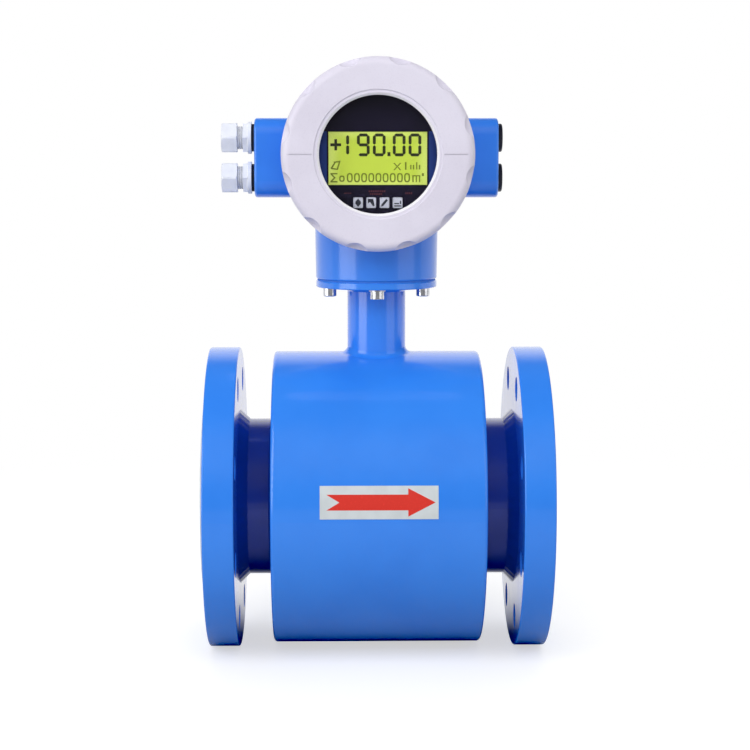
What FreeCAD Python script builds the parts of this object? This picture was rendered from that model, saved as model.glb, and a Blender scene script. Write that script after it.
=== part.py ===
import FreeCAD, Part
import math
import os

from FreeCAD import Placement, Rotation, Vector

# Flanged electromagnetic flow meter for a 100 mm pipe, in millimetres.
# Origin: centre of the inlet sealing face, on the pipe axis. +X is the flow direction,
# +Z is up, and the display faces -Y.

# ---- flanged measuring tube ----
FACE_TO_FACE = 250.0
FLANGE_DIAMETER = 220.0
FLANGE_THICKNESS = 22.0
FLANGE_EDGE_RADIUS = 1.2
FLANGE_WELD_LEG = 7.0
BOLT_CIRCLE_INSET = 20.0
BOLT_HOLE_DIAMETER = 18.0
BOLT_COUNT = 8
TUBE_DIAMETER = 114.3
TUBE_WALL = 4.5
LINER_WALL = 3.5
FLARE_HOLE_GAP = 2.0
LINER_FLARE_THICKNESS = 3.0
LINER_LIP_RADIUS = 2.0

# ---- coil housing round the tube ----
HOUSING_DIAMETER = 214.0
HOUSING_SETBACK = 50.0
HOUSING_WALL = 4.0
HOUSING_EDGE_RADIUS = 2.5
END_PLATE_THICKNESS = 5.0
END_PLATE_WELD_LEG = 3.0

# ---- magnet system inside the coil housing ----
POLE_SHOE_THICKNESS = 3.0
POLE_SHOE_LENGTH = 84.0
POLE_SHOE_HALF_ANGLE = 42.0
POLE_CORE_DIAMETER = 22.0
YOKE_HOUSING_GAP = 7.0
YOKE_THICKNESS = 4.0
YOKE_WIDTH = 22.0
RIVET_DIAMETER = 10.0
RIVET_HEAD_DIAMETER = 16.0
RIVET_HEAD_HEIGHT = 2.5
BOBBIN_FLANGE_DIAMETER = 68.0
BOBBIN_HUB_WALL = 2.0
BOBBIN_FLANGE_THICKNESS = 2.0
BOBBIN_CLEARANCE = 0.2
WINDING_MARGIN = 2.8

# ---- measuring electrodes ----
ELECTRODE_HEAD_DIAMETER = 12.0
ELECTRODE_HEAD_HEIGHT = 2.0
ELECTRODE_SHANK_DIAMETER = 5.0
ELECTRODE_SHANK_LENGTH = 25.0
INSULATOR_SHANK_DIAMETER = 10.0
INSULATOR_FLANGE_DIAMETER = 20.0
INSULATOR_FLANGE_HEIGHT = 5.0
ELECTRODE_NUT_FLATS = 8.0
ELECTRODE_NUT_HEIGHT = 4.0

# ---- stem between coil housing and transmitter ----
STEM_DIAMETER = 42.4
STEM_WALL = 3.25
STEM_WELD_RADIUS = 5.0
STEM_HEIGHT = 53.0
PLATE_DIAMETER = 88.0
PLATE_THICKNESS = 5.0
PLATE_EDGE_RADIUS = 0.8
PLATE_WELD_LEG = 3.0
GASKET_THICKNESS = 1.0
GASKET_MARGIN = 1.0
GASKET_OPENING_DIAMETER = 50.0
HEAD_SCREW_COUNT = 4
HEAD_SCREW_INSET = 10.0
HEAD_SCREW_DIAMETER = 6.0
HEAD_SCREW_GRIP_LENGTH = 16.0
HEAD_SCREW_CAP_DIAMETER = 10.0
HEAD_SCREW_CAP_HEIGHT = 6.0
HEAD_SCREW_SOCKET_FLATS = 5.0
HEAD_SCREW_SOCKET_DEPTH = 3.5
HEAD_SCREW_HOLE_CLEARANCE = 0.3
WASHER_DIAMETER = 12.0
WASHER_THICKNESS = 1.2

# ---- flow direction label ----
LABEL_LENGTH = 81.6
LABEL_HEIGHT = 23.0
LABEL_THICKNESS = 0.3
LABEL_LIFT_ANGLE = 7.4

# ---- transmitter housing ----
COMPARTMENT_DIAMETER = 108.0
SPIGOT_WALL = 5.0
SPIGOT_LENGTH = 9.5
DRUM_STEP = 2.0
COLLAR_STEP = 5.0
COLLAR_THICKNESS = 8.0
FOOT_COVER_GAP = 1.0
CAST_BLEND_RADIUS = 3.0
PARTITION_FRONT = 14.0
PARTITION_THICKNESS = 6.0
FOOT_NECK_HEIGHT = 29.0
FOOT_FLARE = 1.0
FOOT_EDGE_RADIUS = 1.5
FOOT_WALL = 6.0
FOOT_SEAT_OPENING = 52.0
FOOT_SEAT_THICKNESS = 4.0
FOOT_ROOF_GAP = 5.0
FOOT_BOSS_DIAMETER = 13.0
FOOT_BOSS_HEIGHT = 16.0
CABLE_WELL_RISE = 8.0
ENTRY_BLOCK_LENGTH = 27.5
ENTRY_BLOCK_HEIGHT = 57.5
ENTRY_BLOCK_DEPTH = 34.0
ENTRY_BLOCK_CORNER_RADIUS = 12.0
ENTRY_BLOCK_EDGE_RADIUS = 2.0
ENTRY_BLOCK_WALL = 6.0
ENTRY_BLOCK_DROP = 2.5
ENTRY_BLOCK_SETBACK = 10.0
ENTRY_WALL_THICKNESS = 12.0
ENTRY_THREAD_DIAMETER = 16.0
ENTRY_SPACING = 29.0
BOARD_FIXING_COUNT = 4
BOARD_FIXING_INSET = 3.5
BOARD_FIXING_DIAMETER = 3.0
BOARD_FIXING_DEPTH = 4.0
BOARD_BOSS_DIAMETER = 7.0
MAIN_BOARD_BOSS_HEIGHT = 6.0
TERMINAL_BOARD_BOSS_HEIGHT = 4.0

# ---- covers ----
COVER_OVERHANG = 1.5
COVER_EDGE_RADIUS = 6.0
COVER_BACK_RADIUS = 1.0
FRONT_COVER_DEPTH = 24.0
REAR_COVER_DEPTH = 20.0
REAR_COVER_CROWN = 2.0
SPIGOT_END_GAP = 0.5
THREAD_CLEARANCE = 0.1
WINDOW_DIAMETER = 82.0
WINDOW_BEVEL_WIDTH = 1.5
WINDOW_BEVEL_DEPTH = 1.5
WINDOW_STEP_WIDTH = 1.7
WINDOW_STEP_DEPTH = 0.8
FRONT_PLATE_THICKNESS = 5.0
GLASS_LAP = 6.7
GLASS_THICKNESS = 5.0
WINDOW_GASKET_THICKNESS = 1.0
WINDOW_GASKET_LAP = 0.3
GLASS_CLEARANCE = 0.3
RETAINING_RING_MARGIN = 1.5
RETAINING_RING_CLEARANCE = 0.05
SPANNER_SLOT_WIDTH = 3.0
NOTCH_COUNT = 12
NOTCH_FIRST_ANGLE = 13.0
NOTCH_FLOOR_FRACTION = 0.93
NOTCH_TOOL_DIAMETER = 20.0
NOTCH_DEPTH = 9.0
NOTCH_FLOOR_RADIUS = 5.0
SEAM_WIDTH = 0.7
SEAM_DEPTH = 0.35
SEAL_OFFSET = 4.0
SEAL_WIDTH = 2.4
SEAL_HEIGHT = 2.0
SEAL_CLEARANCE = 0.3

# ---- display behind the window ----
FASCIA_THICKNESS = 2.0
FASCIA_WALL_GAP = 4.0
SCREEN_WIDTH = 69.0
SCREEN_HEIGHT = 37.0
SCREEN_DROP = 2.7
SCREEN_CLEARANCE = 0.2
SCREEN_SETBACK = 0.5
SCREEN_FRAME = 2.5
DISPLAY_BOARD_GAP = 6.5
BOARD_THICKNESS = 1.6
STANDOFF_DIAMETER = 5.0
KEY_COUNT = 4
KEY_PITCH = 9.2
KEY_DROP = 33.5
KEY_WIDTH = 6.6
KEY_HEIGHT = 7.2
KEY_CORNER_RADIUS = 0.8
KEY_CLEARANCE = 0.3
KEY_STAND_OUT = 0.8
KEY_LIP = 0.9
KEY_LIP_THICKNESS = 1.0
KEY_LIP_GAP = 0.1
KEY_STEM_DIAMETER = 3.0
KEY_TRAVEL_GAP = 0.5
SWITCH_SIZE = 6.0
SWITCH_BODY_HEIGHT = 2.4
SWITCH_PLUNGER_HEIGHT = 0.6

# ---- electronics and terminals ----
TRANSFORMER_WIDTH = 34.0
TRANSFORMER_HEIGHT = 28.0
TRANSFORMER_DEPTH = 18.0
PLUG_SOCKET_WIDTH = 16.0
PLUG_SOCKET_HEIGHT = 8.0
PLUG_SOCKET_RISE = 16.0
TERMINAL_COUNT = 10
TERMINAL_PITCH = 7.2
TERMINAL_BLOCK_HEIGHT = 15.0
TERMINAL_BLOCK_DEPTH = 13.0
TERMINAL_BLOCK_DROP = 16.0
TERMINAL_SCREW_DIAMETER = 4.0
TERMINAL_SCREW_DEPTH = 2.5

# ---- sensor harness ----
HARNESS_DIAMETER = 5.0
HARNESS_YOKE_GAP = 0.5

# ---- cable glands and blanking plugs ----
GLAND_WASHER_DIAMETER = 20.0
GLAND_WASHER_THICKNESS = 2.4
GLAND_COLLAR_DIAMETER = 23.4
GLAND_COLLAR_THICKNESS = 2.8
GLAND_HEX_FLATS = 20.6
GLAND_HEX_LENGTH = 3.2
GLAND_NECK_DIAMETER = 16.4
GLAND_NECK_LENGTH = 4.4
GLAND_END_GAP = 1.0
GLAND_ENTRY_LENGTH = 10.0
GLAND_BORE_DIAMETER = 9.6
GLAND_SOCKET_DIAMETER = 12.4
GLAND_SOCKET_DEPTH = 7.0
GLAND_NUT_FLATS = 21.0
GLAND_NUT_LENGTH = 11.4
GLAND_NUT_OPENING = 8.6
GLAND_NUT_WALL = 2.4
GLAND_NUT_ROUNDING = 1.6
GLAND_SEAL_GAP = 0.3
CABLE_DIAMETER = 7.0
PLUG_HEAD_DIAMETER = 20.5
PLUG_HEAD_THICKNESS = 2.6
PLUG_HEAD_EDGE_RADIUS = 1.1
PLUG_THREAD_LENGTH = 9.0
PLUG_SLOT_WIDTH = 2.0
PLUG_SLOT_DEPTH = 1.0
PLUG_SEAL_DIAMETER = 19.0
PLUG_SEAL_THICKNESS = 0.8

# ---- values worked out from the sizes above ----
RIGHT = Vector(1, 0, 0)
LEFT = Vector(-1, 0, 0)
FRONT = Vector(0, -1, 0)
BACK = Vector(0, 1, 0)
UP = Vector(0, 0, 1)
DOWN = Vector(0, 0, -1)

CENTRE_X = FACE_TO_FACE / 2
BOLT_CIRCLE = FLANGE_DIAMETER - 2 * BOLT_CIRCLE_INSET
TUBE_RADIUS = TUBE_DIAMETER / 2
LINER_RADIUS = TUBE_RADIUS - TUBE_WALL
BORE_RADIUS = LINER_RADIUS - LINER_WALL
LINER_FLARE_RADIUS = (BOLT_CIRCLE - BOLT_HOLE_DIAMETER) / 2 - FLARE_HOLE_GAP
HOUSING_RADIUS = HOUSING_DIAMETER / 2
HOUSING_START = HOUSING_SETBACK
HOUSING_LENGTH = FACE_TO_FACE - 2 * HOUSING_SETBACK
POLE_SHOE_RADIUS = TUBE_RADIUS + POLE_SHOE_THICKNESS
YOKE_RADIUS = HOUSING_RADIUS - HOUSING_WALL - YOKE_HOUSING_GAP - YOKE_THICKNESS
BOBBIN_TOP = math.sqrt(YOKE_RADIUS ** 2 - (BOBBIN_FLANGE_DIAMETER / 2) ** 2) - BOBBIN_CLEARANCE

STEM_RADIUS = STEM_DIAMETER / 2
STEM_BORE_RADIUS = STEM_RADIUS - STEM_WALL
STEM_TOP_HEIGHT = HOUSING_RADIUS + STEM_HEIGHT
PLATE_BOTTOM = STEM_TOP_HEIGHT - PLATE_THICKNESS
HEAD_SCREW_CIRCLE = PLATE_DIAMETER - 2 * HEAD_SCREW_INSET
HARNESS_OFFSET = (YOKE_WIDTH + HARNESS_DIAMETER) / 2 + HARNESS_YOKE_GAP

SPIGOT_DIAMETER = COMPARTMENT_DIAMETER + 2 * SPIGOT_WALL
DRUM_DIAMETER = SPIGOT_DIAMETER + 2 * DRUM_STEP
COLLAR_DIAMETER = DRUM_DIAMETER + 2 * COLLAR_STEP
FOOT_BASE = STEM_TOP_HEIGHT + GASKET_THICKNESS
FOOT_BASE_RADIUS = PLATE_DIAMETER / 2
FOOT_TOP_RADIUS = FOOT_BASE_RADIUS + FOOT_FLARE
COVER_SEAT_DISTANCE = FOOT_TOP_RADIUS + FOOT_COVER_GAP
HEAD_HEIGHT = FOOT_BASE + FOOT_NECK_HEIGHT + DRUM_DIAMETER / 2
HEAD = Vector(CENTRE_X, 0, HEAD_HEIGHT)
ENTRY_BLOCK_REACH = DRUM_DIAMETER / 2 + ENTRY_BLOCK_LENGTH
ENTRY_CENTRE = HEAD + Vector(0, ENTRY_BLOCK_SETBACK, -ENTRY_BLOCK_DROP)
PARTITION_BACK = PARTITION_FRONT - PARTITION_THICKNESS

COVER_RADIUS = COLLAR_DIAMETER / 2 + COVER_OVERHANG
COVER_BORE_RADIUS = SPIGOT_DIAMETER / 2 + THREAD_CLEARANCE
COVER_THREAD_DEPTH = SPIGOT_LENGTH + SPIGOT_END_GAP
SEAL_MEAN_DIAMETER = SPIGOT_DIAMETER + 2 * SEAL_OFFSET
GLASS_DIAMETER = WINDOW_DIAMETER + 2 * GLASS_LAP
GLASS_POCKET_RADIUS = GLASS_DIAMETER / 2 + GLASS_CLEARANCE
GLASS_FRONT = FRONT_COVER_DEPTH - FRONT_PLATE_THICKNESS - WINDOW_GASKET_THICKNESS
GLASS_BACK = GLASS_FRONT - GLASS_THICKNESS
RETAINING_RING_OPENING = WINDOW_DIAMETER + 2 * RETAINING_RING_MARGIN

FASCIA_DIAMETER = COMPARTMENT_DIAMETER - 2 * FASCIA_WALL_GAP
BOARD_DIAMETER = FASCIA_DIAMETER
BOARD_FIXING_CIRCLE = FASCIA_DIAMETER - 2 * BOARD_FIXING_INSET
FASCIA_FRONT = COVER_SEAT_DISTANCE + SPIGOT_LENGTH
FASCIA_BACK = FASCIA_FRONT - FASCIA_THICKNESS
DISPLAY_BOARD_FRONT = FASCIA_BACK - DISPLAY_BOARD_GAP
DISPLAY_BOARD_BACK = DISPLAY_BOARD_FRONT - BOARD_THICKNESS
MAIN_BOARD_BACK = PARTITION_FRONT + MAIN_BOARD_BOSS_HEIGHT
MAIN_BOARD_FRONT = MAIN_BOARD_BACK + BOARD_THICKNESS
TERMINAL_BOARD_FRONT = PARTITION_BACK - TERMINAL_BOARD_BOSS_HEIGHT
TERMINAL_BOARD_BACK = TERMINAL_BOARD_FRONT - BOARD_THICKNESS
PLUG_SOCKET_BOTTOM = HEAD_HEIGHT - COMPARTMENT_DIAMETER / 2 + PLUG_SOCKET_RISE

GLAND_NUT_START = (GLAND_WASHER_THICKNESS + GLAND_COLLAR_THICKNESS + GLAND_HEX_LENGTH
                   + GLAND_NECK_LENGTH)
GLAND_BODY_END = GLAND_NUT_START + GLAND_NUT_LENGTH - GLAND_NUT_WALL - GLAND_END_GAP


# ---- small construction helpers ----
def outline(corners):
    """Closed flat wire through corners given as (u, v) or (u, v, corner radius)."""
    edges = []
    last_end = None
    first_start = None
    count = len(corners)
    for index, corner in enumerate(corners):
        here = Vector(corner[0], corner[1], 0)
        start = here
        end = here
        arc = None
        if len(corner) > 2:
            before = corners[index - 1]
            after = corners[(index + 1) % count]
            back = (Vector(before[0], before[1], 0) - here).normalize()
            ahead = (Vector(after[0], after[1], 0) - here).normalize()
            half_angle = back.getAngle(ahead) / 2
            start = here + back * (corner[2] / math.tan(half_angle))
            end = here + ahead * (corner[2] / math.tan(half_angle))
            inward = (back + ahead).normalize()
            middle = here + inward * (corner[2] / math.sin(half_angle) - corner[2])
            arc = Part.Arc(start, middle, end).toShape()
        if last_end is None:
            first_start = start
        elif last_end.distanceToPoint(start) > 1e-6:
            edges.append(Part.makeLine(last_end, start))
        if arc:
            edges.append(arc)
        last_end = end
    if last_end.distanceToPoint(first_start) > 1e-6:
        edges.append(Part.makeLine(last_end, first_start))
    return Part.Wire(edges)


def turned(corners, origin, axis):
    """Solid of revolution: corners are (radius, height along the axis[, corner radius])."""
    face = Part.Face(outline(corners))
    solid = face.revolve(Vector(0, 0, 0), Vector(0, 1, 0), 360)
    solid.Placement = Placement(origin, Rotation(Vector(0, 1, 0), axis))
    return solid


def cylinder(diameter, length, origin, axis):
    """Plain round bar."""
    return Part.makeCylinder(diameter / 2, length, origin, axis)


def ring(outside, inside, length, origin, axis):
    """Round bar with a round bore."""
    return cylinder(outside, length, origin, axis).cut(cylinder(inside, length, origin, axis))


def extruded(corners, length, origin, axis, upright=UP):
    """Prism of an outline whose v runs along upright, pushed out along the axis."""
    across = upright.cross(axis)
    face = Part.Face(outline(corners))
    solid = face.extrude(Vector(0, 0, length))
    solid.Placement = Placement(origin, Rotation(across, upright, axis))
    return solid


def rectangle(width, height, radius=None):
    """Corners of a centred rectangle, rounded when a radius is given."""
    rounding = () if radius is None else (radius,)
    signs = ((-1, -1), (1, -1), (1, 1), (-1, 1))
    return [(u * width / 2, v * height / 2) + rounding for u, v in signs]


def hexagon(flats):
    """Corners of a centred hexagon by its distance across flats."""
    reach = flats / math.sqrt(3)
    angles = [math.radians(60 * step) for step in range(6)]
    return [(reach * math.cos(angle), reach * math.sin(angle)) for angle in angles]


def around(shape, count, first_angle, origin, axis):
    """Copies of a shape spread evenly round an axis."""
    copies = []
    for step in range(count):
        copy = shape.copy()
        copy.rotate(origin, axis, first_angle + 360 * step / count)
        copies.append(copy)
    return copies


def minus(shape, tools):
    """Shape with a list of tools cut away."""
    return shape.cut(Part.makeCompound(tools)) if tools else shape


def fused(shapes):
    """One clean solid out of overlapping shapes."""
    return shapes[0].fuse(shapes[1:]).removeSplitter()


# ---- measuring tube and flanges ----
def flange(face_x, inward):
    """Slip-on flange with its bolt holes."""
    origin = Vector(face_x, 0, 0)
    corners = [
        (TUBE_RADIUS, 0),
        (FLANGE_DIAMETER / 2, 0, FLANGE_EDGE_RADIUS),
        (FLANGE_DIAMETER / 2, FLANGE_THICKNESS, FLANGE_EDGE_RADIUS),
        (TUBE_RADIUS, FLANGE_THICKNESS),
    ]
    hole_start = origin + UP * (BOLT_CIRCLE / 2)
    hole = cylinder(BOLT_HOLE_DIAMETER, FLANGE_THICKNESS, hole_start, inward)
    holes = around(hole, BOLT_COUNT, 180 / BOLT_COUNT, origin, RIGHT)
    return minus(turned(corners, origin, inward), holes)


def tube_outline():
    """Corners of the tube along its length, with the fillet welds that it carries."""
    start = LINER_FLARE_THICKNESS
    flange_back = start + FLANGE_THICKNESS
    half = [
        (LINER_RADIUS, start),
        (TUBE_RADIUS, start),
        (TUBE_RADIUS, flange_back),
        (TUBE_RADIUS + FLANGE_WELD_LEG, flange_back),
        (TUBE_RADIUS, flange_back + FLANGE_WELD_LEG),
        (TUBE_RADIUS, HOUSING_START - END_PLATE_WELD_LEG),
        (TUBE_RADIUS + END_PLATE_WELD_LEG, HOUSING_START),
        (TUBE_RADIUS, HOUSING_START),
    ]
    return half + [(radius, FACE_TO_FACE - x) for radius, x in reversed(half)]


def measuring_tube():
    """Stainless tube with its welds and the two holes that the electrodes pass through."""
    tube = turned(tube_outline(), Vector(0, 0, 0), RIGHT)
    hole = cylinder(INSULATOR_SHANK_DIAMETER, TUBE_DIAMETER,
                    Vector(CENTRE_X, TUBE_RADIUS, 0), FRONT)
    return tube.cut(hole)


def liner():
    """Insulating liner, flared over both flange faces as the sealing faces."""
    far_face = FACE_TO_FACE - LINER_FLARE_THICKNESS
    corners = [
        (BORE_RADIUS, 0, LINER_LIP_RADIUS),
        (LINER_FLARE_RADIUS, 0),
        (LINER_FLARE_RADIUS, LINER_FLARE_THICKNESS),
        (LINER_RADIUS, LINER_FLARE_THICKNESS),
        (LINER_RADIUS, far_face),
        (LINER_FLARE_RADIUS, far_face),
        (LINER_FLARE_RADIUS, FACE_TO_FACE),
        (BORE_RADIUS, FACE_TO_FACE, LINER_LIP_RADIUS),
    ]
    hole = cylinder(ELECTRODE_SHANK_DIAMETER, TUBE_DIAMETER,
                    Vector(CENTRE_X, TUBE_RADIUS, 0), FRONT)
    return turned(corners, Vector(0, 0, 0), RIGHT).cut(hole)


# ---- coil housing ----
def coil_housing_shell():
    """Rolled outer shell with soft rims and the wiring hole under the stem."""
    inner = HOUSING_RADIUS - HOUSING_WALL
    corners = [
        (inner, 0),
        (HOUSING_RADIUS, 0, HOUSING_EDGE_RADIUS),
        (HOUSING_RADIUS, HOUSING_LENGTH, HOUSING_EDGE_RADIUS),
        (inner, HOUSING_LENGTH),
    ]
    shell = turned(corners, Vector(HOUSING_START, 0, 0), RIGHT)
    wiring_hole = Part.makeCylinder(STEM_BORE_RADIUS, HOUSING_RADIUS, Vector(CENTRE_X, 0, 0), UP)
    return shell.cut(wiring_hole)


def end_plate(face_x, inward):
    """Ring plate that closes one end of the coil housing."""
    return ring(2 * (HOUSING_RADIUS - HOUSING_WALL), TUBE_DIAMETER, END_PLATE_THICKNESS,
                Vector(face_x, 0, 0), inward)


# ---- magnet system ----
def pole_shoe(outward):
    """Curved pole shoe on the tube; its core carries the coil and is riveted to the yoke."""
    start_x = CENTRE_X - POLE_SHOE_LENGTH / 2
    shell = ring(2 * POLE_SHOE_RADIUS, TUBE_DIAMETER, POLE_SHOE_LENGTH,
                 Vector(start_x, 0, 0), RIGHT)
    half_width = POLE_SHOE_RADIUS * math.sin(math.radians(POLE_SHOE_HALF_ANGLE))
    window = extruded(rectangle(2 * half_width, POLE_SHOE_LENGTH), POLE_SHOE_RADIUS,
                      Vector(CENTRE_X, 0, 0), outward, RIGHT)
    centre = Vector(CENTRE_X, 0, 0)
    core = cylinder(POLE_CORE_DIAMETER, YOKE_RADIUS, centre, outward)
    inside_yoke = cylinder(2 * YOKE_RADIUS, HOUSING_LENGTH, Vector(HOUSING_START, 0, 0), RIGHT)
    tube_space = cylinder(TUBE_DIAMETER, HOUSING_LENGTH, Vector(HOUSING_START, 0, 0), RIGHT)
    rivet = turned([
        (0, YOKE_RADIUS - 1),
        (RIVET_DIAMETER / 2, YOKE_RADIUS - 1),
        (RIVET_DIAMETER / 2, YOKE_RADIUS + YOKE_THICKNESS),
        (RIVET_HEAD_DIAMETER / 2, YOKE_RADIUS + YOKE_THICKNESS),
        (RIVET_DIAMETER / 2, YOKE_RADIUS + YOKE_THICKNESS + RIVET_HEAD_HEIGHT),
        (0, YOKE_RADIUS + YOKE_THICKNESS + RIVET_HEAD_HEIGHT),
    ], centre, outward)
    plate = shell.common(window)
    return fused([plate, core.common(inside_yoke).cut(tube_space), rivet])


def bobbin(outward):
    """Flanged spool that slips over the pole core."""
    hole = POLE_CORE_DIAMETER / 2 + BOBBIN_CLEARANCE
    hub = hole + BOBBIN_HUB_WALL
    rim = BOBBIN_FLANGE_DIAMETER / 2
    top = BOBBIN_TOP - POLE_SHOE_RADIUS
    corners = [
        (hole, 0),
        (rim, 0),
        (rim, BOBBIN_FLANGE_THICKNESS),
        (hub, BOBBIN_FLANGE_THICKNESS),
        (hub, top - BOBBIN_FLANGE_THICKNESS),
        (rim, top - BOBBIN_FLANGE_THICKNESS),
        (rim, top),
        (hole, top),
    ]
    return turned(corners, Vector(CENTRE_X, 0, 0) + outward * POLE_SHOE_RADIUS, outward)


def coil_winding(outward):
    """Copper winding that fills the bobbin between its flanges."""
    hub = POLE_CORE_DIAMETER / 2 + BOBBIN_CLEARANCE + BOBBIN_HUB_WALL
    start = POLE_SHOE_RADIUS + BOBBIN_FLANGE_THICKNESS
    length = BOBBIN_TOP - BOBBIN_FLANGE_THICKNESS - start
    return ring(BOBBIN_FLANGE_DIAMETER - 2 * WINDING_MARGIN, 2 * hub, length,
                Vector(CENTRE_X, 0, 0) + outward * start, outward)


def magnetic_yoke():
    """Steel strap rolled into a ring that closes the magnetic circuit round both coils."""
    start_x = CENTRE_X - YOKE_WIDTH / 2
    reach = YOKE_RADIUS + YOKE_THICKNESS
    band = ring(2 * reach, 2 * YOKE_RADIUS, YOKE_WIDTH, Vector(start_x, 0, 0), RIGHT)
    rivet_hole = cylinder(RIVET_DIAMETER, 2 * reach, Vector(CENTRE_X, 0, -reach), UP)
    return band.cut(rivet_hole)


# ---- electrodes ----
def electrode(outward):
    """Electrode with a domed head on the liner and a threaded shank through the wall."""
    head_radius = ELECTRODE_HEAD_DIAMETER / 2
    shank_radius = ELECTRODE_SHANK_DIAMETER / 2
    corners = [
        (0, -ELECTRODE_HEAD_HEIGHT),
        (head_radius, -ELECTRODE_HEAD_HEIGHT, ELECTRODE_HEAD_HEIGHT / 2),
        (head_radius, LINER_WALL),
        (shank_radius, LINER_WALL),
        (shank_radius, ELECTRODE_SHANK_LENGTH),
        (0, ELECTRODE_SHANK_LENGTH),
    ]
    blank = turned(corners, Vector(CENTRE_X, 0, 0) + outward * BORE_RADIUS, outward)
    bore_space = cylinder(2 * BORE_RADIUS, HOUSING_LENGTH, Vector(HOUSING_START, 0, 0), RIGHT)
    shank = cylinder(ELECTRODE_SHANK_DIAMETER, BORE_RADIUS + ELECTRODE_SHANK_LENGTH,
                     Vector(CENTRE_X, 0, 0), outward)
    outside_bore = blank.cut(bore_space).common(shank)
    return outside_bore.fuse(blank.common(bore_space)).removeSplitter()


def electrode_insulator(outward):
    """Insulating bush in the tube wall, with a flange that seats on the tube."""
    shank_start = LINER_RADIUS
    corners = [
        (ELECTRODE_SHANK_DIAMETER / 2, shank_start),
        (INSULATOR_SHANK_DIAMETER / 2, shank_start),
        (INSULATOR_SHANK_DIAMETER / 2, TUBE_RADIUS - 1),
        (INSULATOR_FLANGE_DIAMETER / 2, TUBE_RADIUS - 1),
        (INSULATOR_FLANGE_DIAMETER / 2, TUBE_RADIUS + INSULATOR_FLANGE_HEIGHT),
        (ELECTRODE_SHANK_DIAMETER / 2, TUBE_RADIUS + INSULATOR_FLANGE_HEIGHT),
    ]
    blank = turned(corners, Vector(CENTRE_X, 0, 0), outward)
    return blank.cut(measuring_tube()).cut(
        cylinder(2 * LINER_RADIUS, HOUSING_LENGTH, Vector(HOUSING_START, 0, 0), RIGHT))


def electrode_nuts():
    """Hexagon nuts that draw each electrode tight against the liner."""
    nuts = []
    for outward in (FRONT, BACK):
        seat = Vector(CENTRE_X, 0, 0) + outward * (TUBE_RADIUS + INSULATOR_FLANGE_HEIGHT)
        blank = extruded(hexagon(ELECTRODE_NUT_FLATS), ELECTRODE_NUT_HEIGHT, seat, outward)
        nuts.append(blank.cut(cylinder(ELECTRODE_SHANK_DIAMETER, ELECTRODE_NUT_HEIGHT, seat,
                                       outward)))
    return Part.makeCompound(nuts)


# ---- stem, top plate and what fastens the transmitter ----
def stem_tube():
    """Stem saddled onto the coil housing, with the weld fillet round its foot."""
    drum = cylinder(HOUSING_DIAMETER, HOUSING_LENGTH, Vector(HOUSING_START, 0, 0), RIGHT)
    post = cylinder(STEM_DIAMETER, STEM_TOP_HEIGHT, Vector(CENTRE_X, 0, 0), UP)
    joined = drum.fuse(post)
    foot_edges = []
    for edge in joined.Edges:
        box = edge.BoundBox
        inside_x = box.XMin > CENTRE_X - STEM_DIAMETER and box.XMax < CENTRE_X + STEM_DIAMETER
        if inside_x and HOUSING_RADIUS / 2 < box.ZMin and box.ZMax < HOUSING_RADIUS + 1:
            foot_edges.append(edge)
    welded = joined.makeFillet(STEM_WELD_RADIUS, foot_edges)
    bore = Part.makeCylinder(STEM_BORE_RADIUS, STEM_TOP_HEIGHT, Vector(CENTRE_X, 0, 0), UP)
    return welded.cut(drum).cut(bore)


def head_screw_places():
    """Centres of the screw pattern under the top plate, at its lower face."""
    first = Vector(CENTRE_X, -HEAD_SCREW_CIRCLE / 2, PLATE_BOTTOM)
    places = []
    for step in range(HEAD_SCREW_COUNT):
        turn = Rotation(UP, 360 * step / HEAD_SCREW_COUNT)
        centre = Vector(CENTRE_X, 0, PLATE_BOTTOM)
        places.append(centre + turn.multVec(first - centre))
    return places


def stem_top_plate():
    """Round plate welded to the stem top, drilled for the transmitter screws."""
    corners = [
        (STEM_RADIUS, -PLATE_WELD_LEG),
        (STEM_RADIUS + PLATE_WELD_LEG, 0),
        (PLATE_DIAMETER / 2, 0, PLATE_EDGE_RADIUS),
        (PLATE_DIAMETER / 2, PLATE_THICKNESS, PLATE_EDGE_RADIUS),
        (STEM_RADIUS, PLATE_THICKNESS),
    ]
    plate = turned(corners, Vector(CENTRE_X, 0, PLATE_BOTTOM), UP)
    hole = HEAD_SCREW_DIAMETER + 2 * HEAD_SCREW_HOLE_CLEARANCE
    return minus(plate, [cylinder(hole, PLATE_THICKNESS, place, UP)
                         for place in head_screw_places()])


def plate_gasket():
    """Flat gasket between the top plate and the transmitter foot."""
    sheet = ring(PLATE_DIAMETER - 2 * GASKET_MARGIN, GASKET_OPENING_DIAMETER, GASKET_THICKNESS,
                 Vector(CENTRE_X, 0, STEM_TOP_HEIGHT), UP)
    hole = HEAD_SCREW_DIAMETER + 2 * HEAD_SCREW_HOLE_CLEARANCE
    return minus(sheet, [cylinder(hole, GASKET_THICKNESS, place + UP * PLATE_THICKNESS, UP)
                         for place in head_screw_places()])


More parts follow.
